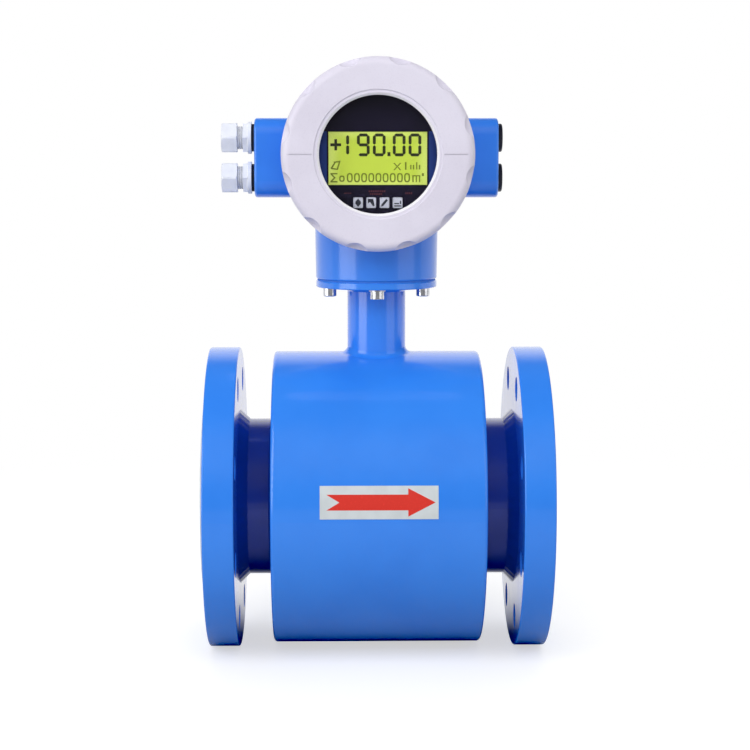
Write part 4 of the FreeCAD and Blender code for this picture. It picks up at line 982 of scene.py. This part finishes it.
@dataclass(frozen=True)
class PrintedFascia(Finish):
    """Black front film with two blue fields beside the screen."""

    centre_x: float
    screen_low: Span
    screen_high: Span
    gap: Span = (0.9 * MM, 1.3 * MM)
    overlap: Span = (1.2 * MM, 0.2 * MM)
    edge: float = 0.12 * MM
    fade: Span = (34 * MM, 44 * MM)
    grain_size: float = 0.4 * MM
    grain_share: float = 0.5
    grain_depth: float = 0.008 * MM
    roughness: Varying = Varying(0.4, 0.1)
    specular: float = 0.12
    blue: Tones = (srgb(38, 62, 138), srgb(26, 46, 108))
    black: Tones = (srgb(19, 15, 37), srgb(25, 21, 45))

    def shade(self, graph: ShaderGraph) -> Signal:
        """Print laid out from the screen opening, with a fine film grain.

        Args:
            graph: Graph that gets the nodes.

        Returns:
            The shader.
        """
        x, _, z = graph.axes()
        aside = abs(x - self.centre_x)
        half = self.screen_high[0] - self.centre_x
        beside = aside.ramp(half + self.gap[0], half + self.gap[1])
        level = z.within(self.screen_low[1] - self.overlap[0],
                         self.screen_high[1] + self.overlap[1], self.edge)
        field = graph.blend(aside.ramp(*self.fade), *self.blue)
        speckle = graph.noise(self.grain_size, COARSE)
        black = graph.blend(speckle * self.grain_share, *self.black)
        return self.principled(
            graph, Base_Color=graph.blend(beside * level, black, field),
            Roughness=self.roughness.over(speckle),
            Specular_IOR_Level=self.specular,
            Normal=graph.bump(speckle, self.grain_depth))


@dataclass(frozen=True)
class LitScreen(Finish):
    """Yellow-green liquid crystal with its backlight."""

    low: Span
    high: Span
    dot_pitch: float = 0.55 * MM
    dot_edge: Span = (0.9, 1.0)
    dot_share: float = 0.12
    side_glow: Span = (0.72, 1.0)
    end_glow: Span = (0.6, 1.05)
    roughness: Varying = Varying(0.3, 0.1)
    specular: float = 0.3
    glow: float = 0.22
    middle: Colour = srgb(186, 206, 70)
    border: Colour = srgb(208, 224, 112)
    dots: Colour = srgb(150, 168, 58)

    def shade(self, graph: ShaderGraph) -> Signal:
        """Brighter towards the borders where the lamps sit, with a faint dot grid.

        Args:
            graph: Graph that gets the nodes.

        Returns:
            The shader.
        """
        x, _, z = graph.axes()
        sides = tuple(zip(self.low, self.high))
        middle_x, middle_z = ((low + high) / 2 for low, high in sides)
        half_x, half_z = ((high - low) / 2 for low, high in sides)
        aside = abs((x - middle_x) / half_x).ramp(*self.side_glow)
        border = aside.at_least(abs((z - middle_z) / half_z).ramp(*self.end_glow))
        turn = 2 * math.pi / self.dot_pitch
        grid = (x * turn).sine().at_least((z * turn).sine()).ramp(*self.dot_edge)
        plain = graph.blend(border, self.middle, self.border)
        colour = graph.blend(grid * self.dot_share, plain, self.dots)
        return self.principled(
            graph, Base_Color=colour,
            Roughness=self.roughness.over(grid),
            Specular_IOR_Level=self.specular, Emission_Color=colour,
            Emission_Strength=self.glow)


@dataclass(frozen=True)
class PrintInk(Finish):
    """Thin printed or switched field of one ink."""

    colour: Colour
    roughness: float = 0.45
    gloss_swing: float = 0.1
    density_size: float = 1.5 * MM
    density_edge: Span = (0.5, 0.85)
    thin_share: float = 0.5
    thin_tone: float = 1.25
    thin_lift: float = 0.01

    def shade(self, graph: ShaderGraph) -> Signal:
        """Ink with a slightly uneven density.

        Args:
            graph: Graph that gets the nodes.

        Returns:
            The shader.
        """
        density = graph.noise(self.density_size, FINE)
        thin = tuple(min(1.0, channel + self.thin_lift)
                     for channel in scaled(self.colour, self.thin_tone))
        thinned = density.ramp(*self.density_edge) * self.thin_share
        return self.principled(
            graph, Base_Color=graph.blend(thinned, self.colour, thin),
            Roughness=self.roughness + density * self.gloss_swing)


@dataclass(frozen=True)
class ClearGlass(Finish):
    """Polished toughened glass that lets light reach what is behind it."""

    index: float = 1.45
    shadow_tint: Colour = (0.97, 0.98, 0.98)
    wiped: Cloud = Cloud(8 * MM, FINE, 0.5, 0.9, 0.02, stretch=(1.0, 1.0, 0.3))

    def shade(self, graph: ShaderGraph) -> Signal:
        """Smooth glass with faint wiping marks, open to light rays.

        Args:
            graph: Graph that gets the nodes.

        Returns:
            The shader.
        """
        glass = self.principled(
            graph, Base_Color=WHITE, Roughness=self.wiped.mask(graph),
            IOR=self.index, Transmission_Weight=1.0)
        clear = graph.node("ShaderNodeBsdfTransparent", None,
                           {"Color": self.shadow_tint})
        ray = graph.node("ShaderNodeLightPath", output="Is Shadow Ray")
        return graph.node("ShaderNodeMixShader", None, {0: ray, 1: glass, 2: clear})


# ---- mesh building ----
BEND_STEP = 1.2 * MM
MERGE_DISTANCE = 0.001 * MM


def linked_piece(name: str, shape: bmesh.types.BMesh, finish: Finish, body: str) -> bpy.types.Object:
    """Turn a finished mesh into a piece of the part.

    Args:
        name: Piece name.
        shape: Mesh data, which is freed.
        finish: Surface finish.
        body: Body that the piece moves with.

    Returns:
        The new object.
    """
    bmesh.ops.recalc_face_normals(shape, faces=shape.faces)
    mesh = bpy.data.meshes.new(name)
    shape.to_mesh(mesh)
    shape.free()
    mesh.materials.append(finish.material())
    piece = bpy.data.objects.new(name, mesh)
    bpy.context.scene.collection.objects.link(piece)
    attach(piece, body)
    LOG.info("%s: %d faces on %s", name, len(mesh.polygons), body)
    return piece


def raised_print(outlines: Sequence[Outline], origin: Vector, thickness: float,
                 bend_radius: float | None = None) -> bmesh.types.BMesh:
    """Thin raised fields on a front face, flat or bent round the pipe axis.

    Args:
        outlines: Closed outlines in metres, u to the right and v up.
        origin: Point of the face that u and v start from.
        thickness: Height of the fields over the face.
        bend_radius: Radius of the face round the pipe axis, where it is bent.

    Returns:
        The mesh of all the fields.
    """
    shape = bmesh.new()
    for outline in outlines:
        corners = [shape.verts.new((u, 0.0, v)) for u, v in outline]
        shape.faces.new(corners)
    if bend_radius:
        levels = sorted({round(v, 6) for outline in outlines for _, v in outline})
        height = levels[0] + BEND_STEP
        while height < levels[-1]:
            parts = shape.verts[:] + shape.edges[:] + shape.faces[:]
            bmesh.ops.bisect_plane(shape, geom=parts, plane_co=(0, 0, height),
                                   plane_no=(0, 0, 1))
            height += BEND_STEP
    many_sided = [face for face in shape.faces if len(face.verts) > 4]
    bmesh.ops.triangulate(shape, faces=many_sided)
    bmesh.ops.remove_doubles(shape, verts=shape.verts, dist=MERGE_DISTANCE)
    bmesh.ops.recalc_face_normals(shape, faces=shape.faces)
    made = bmesh.ops.extrude_face_region(shape, geom=shape.faces[:])
    for element in made["geom"]:
        if isinstance(element, bmesh.types.BMVert):
            element.co.y -= thickness
    for vert in shape.verts:
        if bend_radius:
            reach = bend_radius - vert.co.y
            angle = (origin.z + vert.co.z) / bend_radius
            vert.co = Vector((origin.x + vert.co.x, -reach * math.cos(angle),
                              reach * math.sin(angle)))
        else:
            vert.co += origin
    return shape


def bar(u: float, v: float, width: float, height: float) -> Outline:
    """Rectangle from its lower left corner."""
    return [(u, v), (u + width, v), (u + width, v + height), (u, v + height)]


def in_millimetres(outlines: Sequence[Outline]) -> list[Outline]:
    """Outlines drawn in millimetres, in metres."""
    return [[(u * MM, v * MM) for u, v in outline] for outline in outlines]


@dataclass(frozen=True)
class Oval:
    """Oval figure drawn as a closed ring of quads, in millimetres."""

    u: float
    v: float
    half_width: float
    half_height: float
    stroke: float
    steps: int = 16
    squareness: float = 0.7

    def spot(self, index: int, inset: float, shift: float) -> tuple[float, float]:
        """Find one corner of the ring.

        Args:
            index: Step round the ring.
            inset: Distance inward from the outer edge.
            shift: Distance that the figure is moved to the right.

        Returns:
            The corner, to the right and upward.
        """
        turn = 2 * math.pi * index / self.steps
        across, upward = (math.copysign(abs(part) ** self.squareness, part)
                          for part in (math.cos(turn), math.sin(turn)))
        return (self.u + shift + (self.half_width - inset) * across,
                self.v + (self.half_height - inset) * upward)

    def outlines(self, shift: float = 0.0) -> list[Outline]:
        """Draw the ring.

        Args:
            shift: Distance that the figure is moved to the right.

        Returns:
            One quad for each step.
        """
        corners = ((0, 0.0), (1, 0.0), (1, self.stroke), (0, self.stroke))
        return [[self.spot(index + ahead, inset, shift) for ahead, inset in corners]
                for index in range(self.steps)]


@dataclass(frozen=True)
class DashRow:
    """Row of short printed dashes, in millimetres."""

    start: float
    level: float
    pitch: float
    width: float
    height: float
    count: int

    def outlines(self) -> list[Outline]:
        """One bar for each dash."""
        return [bar(self.start + step * self.pitch, self.level, self.width, self.height)
                for step in range(self.count)]


@dataclass(frozen=True)
class SegmentDigit:
    """Seven-segment digit with pointed bars, in millimetres."""

    width: float
    height: float
    stroke: float
    gap: float = 0.12

    LIT: ClassVar[dict[str, str]] = {"0": "abcdef", "1": "bc", "9": "abcdfg"}

    def _level(self, u: float, v: float) -> Outline:
        """Draw a horizontal pointed bar.

        Args:
            u: Left end of its centre line.
            v: Height of its centre line.

        Returns:
            The outline of the bar.
        """
        half = self.stroke / 2
        end = u + self.width - self.stroke
        return [(u + self.gap, v), (u + half, v + half), (end - half, v + half),
                (end - self.gap, v), (end - half, v - half), (u + half, v - half)]

    def _upright(self, u: float, v: float) -> Outline:
        """Draw a vertical pointed bar.

        Args:
            u: Place of its centre line.
            v: Lower end of its centre line.

        Returns:
            The outline of the bar.
        """
        half = self.stroke / 2
        end = v + (self.height - self.stroke) / 2
        return [(u, v + self.gap), (u + half, v + half), (u + half, end - half),
                (u, end - self.gap), (u - half, end - half), (u - half, v + half)]

    def outlines(self, sign: str, u: float, v: float) -> list[Outline]:
        """Draw the lit bars of one sign.

        Args:
            sign: The digit to show.
            u: Left edge of the digit.
            v: Lower edge of the digit.

        Returns:
            One outline for each lit bar.
        """
        left = u + self.stroke / 2
        right = u + self.width - self.stroke / 2
        low = v + self.stroke / 2
        middle = v + self.height / 2
        high = v + self.height - self.stroke / 2
        bars = {"a": self._level(left, high), "d": self._level(left, low),
                "g": self._level(left, middle), "f": self._upright(left, middle),
                "b": self._upright(right, middle), "e": self._upright(left, low),
                "c": self._upright(right, low)}
        return [bars[key] for key in self.LIT[sign]]


class ScreenSign(Enum):
    """Small signs on the screen, in millimetres from its lower left corner."""

    SUM = (bar(1.4, 1.8, 4.9, 0.9), bar(1.4, 7.4, 4.9, 0.9),
           [(1.4, 2.7), (2.8, 2.7), (5.0, 5.05), (3.7, 5.05)],
           [(3.7, 5.05), (5.0, 5.05), (2.8, 7.4), (1.4, 7.4)])
    PIPE = ([(1.4, 11.6), (2.3, 11.0), (4.9, 15.0), (4.0, 15.6)],
            [(3.4, 16.2), (8.6, 16.9), (7.2, 15.7), (4.4, 15.3)],
            [(8.6, 16.9), (6.6, 10.4), (5.8, 11.4), (7.2, 15.7)],
            [(2.3, 11.0), (6.6, 10.4), (5.8, 11.4), (2.9, 11.9)])
    TIMES = ([(45.2, 10.3), (46.3, 10.3), (50.9, 15.3), (49.8, 15.3)],
             [(45.2, 15.3), (47.4, 12.9), (48.0, 13.4), (46.3, 15.3)],
             [(48.2, 12.1), (49.8, 10.3), (50.9, 10.3), (48.8, 12.7)])
    ONE = (bar(53.4, 10.6, 1.1, 5.3),)
    RATE = (bar(57.0, 10.8, 1.0, 3.2), bar(58.9, 10.8, 1.0, 3.2),
            bar(61.2, 10.8, 0.9, 5.0), bar(63.1, 10.8, 1.0, 3.2))
    VOLUME = (bar(58.6, 2.0, 0.9, 4.6), bar(60.9, 2.0, 0.9, 4.6),
              bar(63.2, 2.0, 0.9, 4.6), bar(58.6, 6.0, 5.5, 0.8),
              bar(65.2, 6.2, 1.5, 2.0))


class KeyIcon(Enum):
    """Plain marks on the four keys, as outlines in millimetres round the key centre."""

    SCROLL = ([(0.0, 2.9), (1.9, 0.7), (0.6, 0.7), (0.6, -0.7), (1.9, -0.7),
               (0.0, -2.9), (-1.9, -0.7), (-0.6, -0.7), (-0.6, 0.7), (-1.9, 0.7)],)
    BACK = ([(-2.4, 2.7), (1.2, 2.7), (0.1, 1.5), (2.4, -1.9), (1.3, -2.7), (-1.0, 0.6),
             (-2.4, -0.6)],)
    EDIT = ([(-2.4, -2.8), (-2.1, -1.2), (1.2, 2.7), (2.4, 1.6), (-0.8, -2.3)],)
    ENTER = ([(-2.4, -2.7), (2.4, -2.7), (2.4, -1.8), (-2.4, -1.8)],
             [(-2.4, -1.0), (1.1, -1.0), (1.1, -0.2), (-2.4, -0.2)],
             [(1.6, -1.0), (2.4, -1.0), (2.4, 1.4), (1.6, 1.4)])


def dress(finish: Finish, *nodes: str) -> None:
    """Give every face of some nodes a finish.

    Args:
        finish: Surface finish.
        nodes: Names of the nodes.
    """
    for node in nodes:
        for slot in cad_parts[node].material_slots:
            slot.material = finish.material()
    LOG.info("%s: %s", finish.title, ", ".join(nodes))


# ---- paints and metals used in more than one place ----
AZURE = GlossPaint("azure_paint", srgb(50, 134, 240), srgb(44, 127, 234))
COVER_TONES = (srgb(221, 217, 232), srgb(207, 202, 218))
PLATED = TurnedMetal("bright_zinc", srgb(214, 216, 222), roughness=0.2)
BRASS = TurnedMetal("nickelled_brass", srgb(198, 190, 168), roughness=0.3)
RUBBER = Rubber("black_rubber")
GLAND_COLOUR = srgb(236, 239, 248)
PLUG_COLOUR = srgb(22, 26, 44)


@dataclass
class MeasuringSection:
    """Flanged tube with its liner, welds and electrodes."""

    flange_weld: Span = (24.6 * MM, 32.4 * MM)

    def dress(self) -> None:
        """Finish the flanges, tube, liner and electrodes."""
        length = CAD_BOX[1].x
        dress(AZURE, "inlet_flange", "outlet_flange")
        # The tube's navy is partly its own paint and partly painted shade from the flanges and
        # housing round it.
        dress(WeldedTubePaint("navy_tube_paint_and_painted_shade", srgb(10, 58, 160), srgb(8, 48, 140),
                              length, self.flange_weld), "measuring_tube")
        dress(LinerPolymer("liner_polymer"), "liner")
        for side in ("front", "rear"):
            spot = centre_of(f"{side}_electrode")
            dress(TurnedMetal(f"{side}_electrode_steel", srgb(186, 184, 180), 0.22,
                              Axis.Y, tuple(spot)), f"{side}_electrode")
            dress(MouldedPlastic("insulator_plastic", srgb(190, 166, 122)),
                  f"{side}_electrode_insulator")
        dress(PLATED, "electrode_nuts")


@dataclass
class CoilHousing:
    """Round coil housing with the magnet system inside."""

    def dress(self) -> None:
        """Finish the shell, its ends and what is inside."""
        dress(AZURE, "coil_housing_shell", "inlet_end_plate", "outlet_end_plate")
        dress(RolledSteel("rolled_steel"),
              "magnetic_yoke", "upper_pole_shoe", "lower_pole_shoe")
        dress(MouldedPlastic("black_nylon", srgb(40, 40, 44)),
              "upper_bobbin", "lower_bobbin")
        dress(CoilWinding("copper_winding"), "upper_coil", "lower_coil")
        dress(Rubber("cable_jacket", srgb(34, 34, 38), srgb(60, 60, 66)),
              "sensor_harness")


@dataclass
class FlowArrow:
    """Label on the coil housing with its arrow along the flow."""

    shaft_share: float = 15 / 32
    head_share: float = 27 / 32
    head_start: float = 0.745
    tail_start: float = 0.055
    tail_notch: float = 0.165
    tip: float = 0.975
    print_height: float = 0.05 * MM

    def outline(self, length: float, height: float) -> list[Outline]:
        """Swallow-tailed arrow in the label's own size.

        Args:
            length: Label length.
            height: Label height along its arc.

        Returns:
            Three outlines: both halves of the tailed shaft, and the head.
        """
        half = height * self.shaft_share / 2
        wide = height * self.head_share / 2
        start, notch = length * self.tail_start, length * self.tail_notch
        neck, tip = length * self.head_start, length * self.tip
        upper = [(start, half), (notch, 0.0), (neck, 0.0), (neck, half)]
        lower = [(start, -half), (neck, -half), (neck, 0.0), (notch, 0.0)]
        head = [(neck, -wide), (tip, 0.0), (neck, wide)]
        return [upper, lower, head]

    def build(self) -> None:
        """Finish the label and lay the arrow on it."""
        low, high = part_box("flow_arrow_label")
        dress(MouldedPlastic("label_film", srgb(206, 213, 216), 0.36, 0.6 * MM),
              "flow_arrow_label")
        radius = math.hypot(low.y, low.z)
        bottom = math.atan2(low.z, -low.y)
        height = radius * (math.atan2(high.z, -high.y) - bottom)
        origin = Vector((low.x, 0.0, radius * bottom + height / 2))
        shape = raised_print(self.outline(high.x - low.x, height), origin,
                             self.print_height, radius)
        ink = PrintInk("arrow_red", srgb(214, 44, 30), 0.38)
        linked_piece("flow_arrow_print", shape, ink, "meter")


@dataclass
class Stem:
    """Stem with its top plate and the screws that hold the transmitter."""

    cap_radius: float = 5 * MM

    def dress(self) -> None:
        """Finish the stem, plate, gasket and screws."""
        dress(AZURE, "stem_tube", "stem_top_plate")
        dress(Rubber("gasket_rubber", srgb(50, 116, 212), srgb(60, 126, 222)),
              "plate_gasket")
        axis = centre_of("stem_top_plate")
        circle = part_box("head_screws")[1].x - axis.x - self.cap_radius
        dress(KnurledCap("plated_cap", tuple(axis), circle, self.cap_radius),
              "head_screws")
        dress(PLATED, "head_screw_washers")


@dataclass
class Transmitter:
    """Cast two-room housing with its covers and seals."""

    def dress(self) -> None:
        """Finish the casting, both covers and what seals them."""
        dress(CastPaint("azure_coat_on_casting", srgb(50, 132, 239), srgb(44, 125, 232),
                        centre=tuple(centre_of("transmitter_housing")),
                        collar_end=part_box("front_cover")[1].y), "transmitter_housing")
        dress(CoverCoat("front_cover_coat", *COVER_TONES,
                        centre=tuple(centre_of("front_cover"))), "front_cover")
        dress(PowderCoat("rear_cover_coat", *COVER_TONES), "rear_cover")
        dress(RUBBER, "front_cover_o_ring", "rear_cover_o_ring", "window_gasket",
              "gland_washers")
        ring = centre_of("window_retaining_ring")
        dress(TurnedMetal("retaining_ring_steel", srgb(190, 190, 194), 0.3, Axis.Y,
                          tuple(ring)), "window_retaining_ring")
        dress(ClearGlass("window_glass"), "window_glass")


@dataclass
class Display:
    """Printed fascia, lit screen with its reading, and the four keys."""

    screen_size: Span = (69.0, 37.0)
    ink_height: float = 0.06 * MM
    reading: str = "190.00"
    digit: SegmentDigit = SegmentDigit(8.9, 15.8, 2.1)
    digit_starts: tuple[float, ...] = (5.6, 19.9, 31.0, 44.9, 55.9)
    digit_level: float = 19.9
    decimal_point: Bar = (41.2, 20.0, 2.1, 2.8)
    plus_sign: tuple[Bar, ...] = ((1.4, 26.9, 7.5, 2.0), (4.2, 24.0, 1.9, 2.9),
                                  (4.2, 28.9, 1.9, 2.9))
    total_lead: Oval = Oval(9.4, 4.4, 1.9, 2.2, 0.95)
    total_figure: Oval = Oval(14.9, 5.1, 2.1, 3.25, 1.0)
    total_digits: int = 9
    total_pitch: float = 5.0
    key_legends: tuple[DashRow, ...] = (
        DashRow(-23.4, 1.6, 1.3, 0.8, 0.9, 4), DashRow(-6.4, 2.8, 1.5, 1.1, 1.3, 8),
        DashRow(-5.6, 0.9, 1.5, 1.1, 1.2, 6), DashRow(19.2, 1.4, 1.3, 0.9, 1.4, 4))

    def screen_corners(self) -> tuple[Vector, Vector]:
        """Place the screen face in the middle of the screen module's box.

        Returns:
            The lower left and the upper right corner, in metres.
        """
        low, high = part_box("lcd_panel")
        middle = (low + high) / 2
        width, height = (size * MM for size in self.screen_size)
        corner = Vector((middle.x - width / 2, low.y, middle.z - height / 2))
        return corner, corner + Vector((width, 0.0, height))

    def reading_outlines(self) -> list[Outline]:
        """Draw the large reading with its sign and point.

        Returns:
            Outlines in millimetres from the screen's corner.
        """
        shapes = [bar(*sides) for sides in self.plus_sign]
        for sign, start in zip(self.reading.replace(".", ""), self.digit_starts):
            shapes += self.digit.outlines(sign, start, self.digit_level)
        return shapes + [bar(*self.decimal_point)]

    def total_outlines(self) -> list[Outline]:
        """Draw the running total in small rounded figures.

        Returns:
            Outlines in millimetres from the screen's corner.
        """
        shapes = self.total_lead.outlines()
        for index in range(self.total_digits):
            shapes += self.total_figure.outlines(index * self.total_pitch)
        return shapes

    def sign_outlines(self) -> list[Outline]:
        """Outlines of all the small signs, in millimetres from the screen's corner."""
        return [outline for sign in ScreenSign for outline in sign.value]

    def build_screen(self) -> None:
        """Finish the screen and lay its signs on it."""
        low, high = self.screen_corners()
        dress(LitScreen("lit_screen", (low.x, low.z), (high.x, high.z)), "lcd_panel")
        dark = PrintInk("screen_black", srgb(30, 38, 6), 0.35)
        olive = PrintInk("screen_olive", srgb(112, 128, 24), 0.35)
        rows = (("screen_reading", self.reading_outlines(), dark),
                ("screen_total", self.total_outlines(), olive),
                ("screen_signs", self.sign_outlines(), olive))
        for name, outlines, ink in rows:
            shape = raised_print(in_millimetres(outlines), low, self.ink_height)
            linked_piece(name, shape, ink, "meter")

    def build_fascia(self) -> None:
        """Finish the fascia and print the small marks over the keys."""
        low, high = self.screen_corners()
        face = centre_of("display_fascia")
        dress(PrintedFascia("printed_fascia", face.x, (low.x, low.z), (high.x, high.z)),
              "display_fascia")
        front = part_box("display_fascia")[0].y
        above_keys = Vector((face.x, front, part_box("display_key_1")[1].z))
        dashes = [dash for row in self.key_legends for dash in row.outlines()]
        shape = raised_print(in_millimetres(dashes), above_keys, self.ink_height)
        ink = PrintInk("dark_red_print", srgb(74, 12, 34))
        linked_piece("fascia_marks", shape, ink, "meter")

    def build_keys(self) -> None:
        """Finish the keys and put a plain mark on each."""
        ink = PrintInk("key_print", srgb(34, 36, 52))
        cap = MouldedPlastic("key_plastic", srgb(208, 210, 228), 0.42, 0.2 * MM)
        for index, icon in enumerate(KeyIcon, start=1):
            node = f"display_key_{index}"
            dress(cap, node)
            low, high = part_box(node)
            middle = (low + high) / 2
            origin = Vector((middle.x, low.y, middle.z))
            shape = raised_print(in_millimetres(icon.value), origin, self.ink_height)
            linked_piece(f"key_{index}_mark", shape, ink, f"key_{index}")

    def build(self) -> None:
        """Build the whole display."""
        self.build_screen()
        self.build_fascia()
        self.build_keys()
        dress(PLATED, "fascia_screws")


@dataclass
class Electronics:
    """Boards, spacers and terminals inside the housing."""

    def dress(self) -> None:
        """Finish the boards and what is mounted on them."""
        for node in ("display_board", "main_board", "terminal_board"):
            dress(CircuitBoard(f"{node}_resist", tuple(centre_of(node))), node)
        dress(BRASS, "fascia_standoffs", "display_standoffs")
        dress(MouldedPlastic("terminal_green", srgb(40, 110, 66)), "terminal_block")
        dress(PLATED, "terminal_screws", "terminal_board_screws")


@dataclass
class CableEntries:
    """Glands on the left and blanking plugs on the right."""

    pitch: float = 1.5 * MM
    neck_radius: float = 8.2 * MM
    plug_radius: float = 7.9 * MM
    nylon_scatter: float = 0.1

    def dress(self) -> None:
        """Finish the glands and plugs, each threaded round its own axis."""
        for level in ("upper", "lower"):
            spot = centre_of(f"{level}_gland_body")
            dress(ThreadedPlastic(f"{level}_gland_nylon", GLAND_COLOUR, Axis.X,
                                  tuple(spot), self.pitch, self.neck_radius,
                                  scatter=self.nylon_scatter), f"{level}_gland_body")
            dress(MouldedPlastic("gland_nut_nylon", GLAND_COLOUR, 0.36,
                                 scatter=self.nylon_scatter), f"{level}_gland_nut")
            spot = centre_of(f"{level}_blanking_plug")
            dress(ThreadedPlastic(f"{level}_plug_nylon", PLUG_COLOUR, Axis.X,
                                  tuple(spot), self.pitch, self.plug_radius),
                  f"{level}_blanking_plug")
            dress(RUBBER, f"{level}_gland_seal", f"{level}_plug_seal")


# ---- studio ----
def aim(holder: bpy.types.Object, place: Point, target: Point) -> None:
    """Put a lamp or camera into the scene, looking at a point.

    Args:
        holder: The lamp's or camera's object.
        place: Where it stands, in metres.
        target: Point that it looks at, in metres.
    """
    holder.location = place
    sight = Vector(target) - Vector(place)
    holder.rotation_euler = sight.to_track_quat("-Z", "Y").to_euler()
    bpy.context.scene.collection.objects.link(holder)


@dataclass(frozen=True)
class SoftBox:
    """Rectangular soft lamp aimed at a point."""

    name: str
    place: Point
    target: Point
    size: Span
    power: float
    mirrored: bool = True

    def hang(self) -> None:
        """Put the lamp in the scene."""
        lamp = bpy.data.lights.new(self.name, "AREA")
        lamp.shape = "RECTANGLE"
        lamp.size, lamp.size_y = self.size
        lamp.energy = self.power
        holder = bpy.data.objects.new(self.name, lamp)
        holder.visible_glossy = self.mirrored
        aim(holder, self.place, self.target)


@dataclass
class Studio:
    """Pale floor, white surroundings, soft lamps and the camera."""

    floor_half: float = 8.0
    floor_cells: int = 4
    floor_near: float = 0.4
    floor_far: float = 0.9
    floor_colour: Colour = (0.55, 0.55, 0.55)
    floor_lift: float = 1.05
    floor_share: float = 0.32
    soft_light: float = 0.46
    front_wall: float = 0.06
    wall_turn: Span = (0.62, 0.9)
    camera_place: Point = (0.099, -1.423, 0.253)
    camera_target: Point = (0.124, 0.0, 0.0897)
    sensor_width: float = 36.0
    view_angle: float = 21.8
    clip_end: float = 50.0
    lamps: tuple[SoftBox, ...] = (
        SoftBox("left_lamp", (-1.55, -1.09, 0.85), (0.125, 0.0, 0.85), (1.25, 1.9),
                20.0),
        SoftBox("right_lamp", (1.8, -1.09, 0.85), (0.125, 0.0, 0.85), (1.25, 1.9),
                6.5),
        SoftBox("front_lamp", (0.05, -1.75, 1.6), (0.125, 0.0, 0.12), (2.4, 1.6), 25.0,
                mirrored=False),
        SoftBox("rear_lamp", (0.3, 1.7, 1.7), (0.125, 0.0, 0.12), (2.4, 1.6), 18.0,
                mirrored=False))

    def lay_floor(self) -> None:
        """Pale floor that keeps the shadow and melts into what is further out."""
        shape = bmesh.new()
        bmesh.ops.create_grid(shape, x_segments=self.floor_cells,
                              y_segments=self.floor_cells, size=self.floor_half)
        mesh = bpy.data.meshes.new("floor")
        shape.to_mesh(mesh)
        shape.free()
        material = bpy.data.materials.new("pale_floor")
        material.use_nodes = True
        graph = ShaderGraph(material.node_tree)
        x, y, _ = graph.axes()
        away = (x * x + y * y).root().ramp(self.floor_near, self.floor_far)
        behind = y.ramp(0.0, self.floor_near / 2)
        seen = behind * (1 - self.floor_share) + self.floor_share
        strength = self.backdrop(graph, seen)
        matt = graph.node("ShaderNodeBsdfDiffuse", None, {"Color": self.floor_colour})
        lifted = (strength - self.soft_light) * self.floor_lift
        lift = graph.node("ShaderNodeEmission", None,
                          {"Color": WHITE, "Strength": lifted})
        near = graph.node("ShaderNodeAddShader", None, {0: matt, 1: lift})
        far = graph.node("ShaderNodeEmission", None,
                         {"Color": WHITE, "Strength": strength})
        mixed = graph.node("ShaderNodeMixShader", None, {0: away, 1: near, 2: far})
        graph.surface(mixed)
        mesh.materials.append(material)
        floor = bpy.data.objects.new("floor", mesh)
        floor.location = (CAD_BOX[1].x / 2, 0.0, CAD_BOX[0].z)
        bpy.context.scene.collection.objects.link(floor)

    def backdrop(self, graph: ShaderGraph, behind: Signal) -> Signal:
        """Strength of the surroundings for the ray that meets them.

        Args:
            graph: Graph that gets the nodes.
            behind: Share that is 1 behind the part and 0 in front of it.

        Returns:
            1 for sight, straight or through glass; the soft light for what lights a
            matt surface; for reflections, 1 behind the part and the front wall's share
            before it.
        """
        def path(name: str) -> Signal:
            """One output of the light path."""
            return graph.node("ShaderNodeLightPath", output=name)
        scattered = path("Diffuse Depth").at_most(1.0)
        turned = (path("Diffuse Depth") + path("Glossy Depth")).at_most(1.0)
        through = path("Is Transmission Ray") * (1 - turned)
        seen = path("Is Camera Ray").at_least(through)
        glossy = path("Is Glossy Ray") * (1 - scattered)
        mirrored = glossy * (behind * (1 - self.front_wall) + self.front_wall)
        return seen.at_least(mirrored).at_least((1 - glossy) * self.soft_light)

    def surround(self) -> None:
        """White surroundings for sight and reflections, plain soft light otherwise."""
        world = bpy.data.worlds.new("surroundings")
        bpy.context.scene.world = world
        world.use_nodes = True
        graph = ShaderGraph(world.node_tree)
        direction = graph.node("ShaderNodeTexCoord", output="Generated")
        split = graph.node("ShaderNodeSeparateXYZ", inputs={0: direction})
        behind = Signal(graph, split.socket.node.outputs["Y"]).ramp(*self.wall_turn)
        glow = graph.node("ShaderNodeBackground", None,
                          {"Color": WHITE, "Strength": self.backdrop(graph, behind)})
        graph.node_output("ShaderNodeOutputWorld", glow)

    def light(self) -> None:
        """Hang tall lamps left and right, and broad ones above front and rear."""
        for lamp in self.lamps:
            lamp.hang()

    def set_camera(self) -> None:
        """Camera a little above the display, looking slightly down."""
        camera = bpy.data.cameras.new("camera")
        half_angle = math.radians(self.view_angle / 2)
        camera.sensor_width = self.sensor_width
        camera.lens = self.sensor_width / 2 / math.tan(half_angle)
        camera.clip_end = self.clip_end
        holder = bpy.data.objects.new("camera", camera)
        aim(holder, self.camera_place, self.camera_target)
        bpy.context.scene.camera = holder

    def build(self) -> None:
        """Set up everything round the part."""
        self.set_camera()
        self.lay_floor()
        self.surround()
        self.light()
        bpy.context.scene.view_settings.view_transform = "Standard"


def main() -> None:
    """Dress the part from the pipe up, then set up the studio."""
    logging.basicConfig(level=logging.INFO, format="%(message)s")
    Studio().build()
    MeasuringSection().dress()
    CoilHousing().dress()
    FlowArrow().build()
    Stem().dress()
    Transmitter().dress()
    Display().build()
    Electronics().dress()
    CableEntries().dress()


if __name__ == "__main__":
    main()
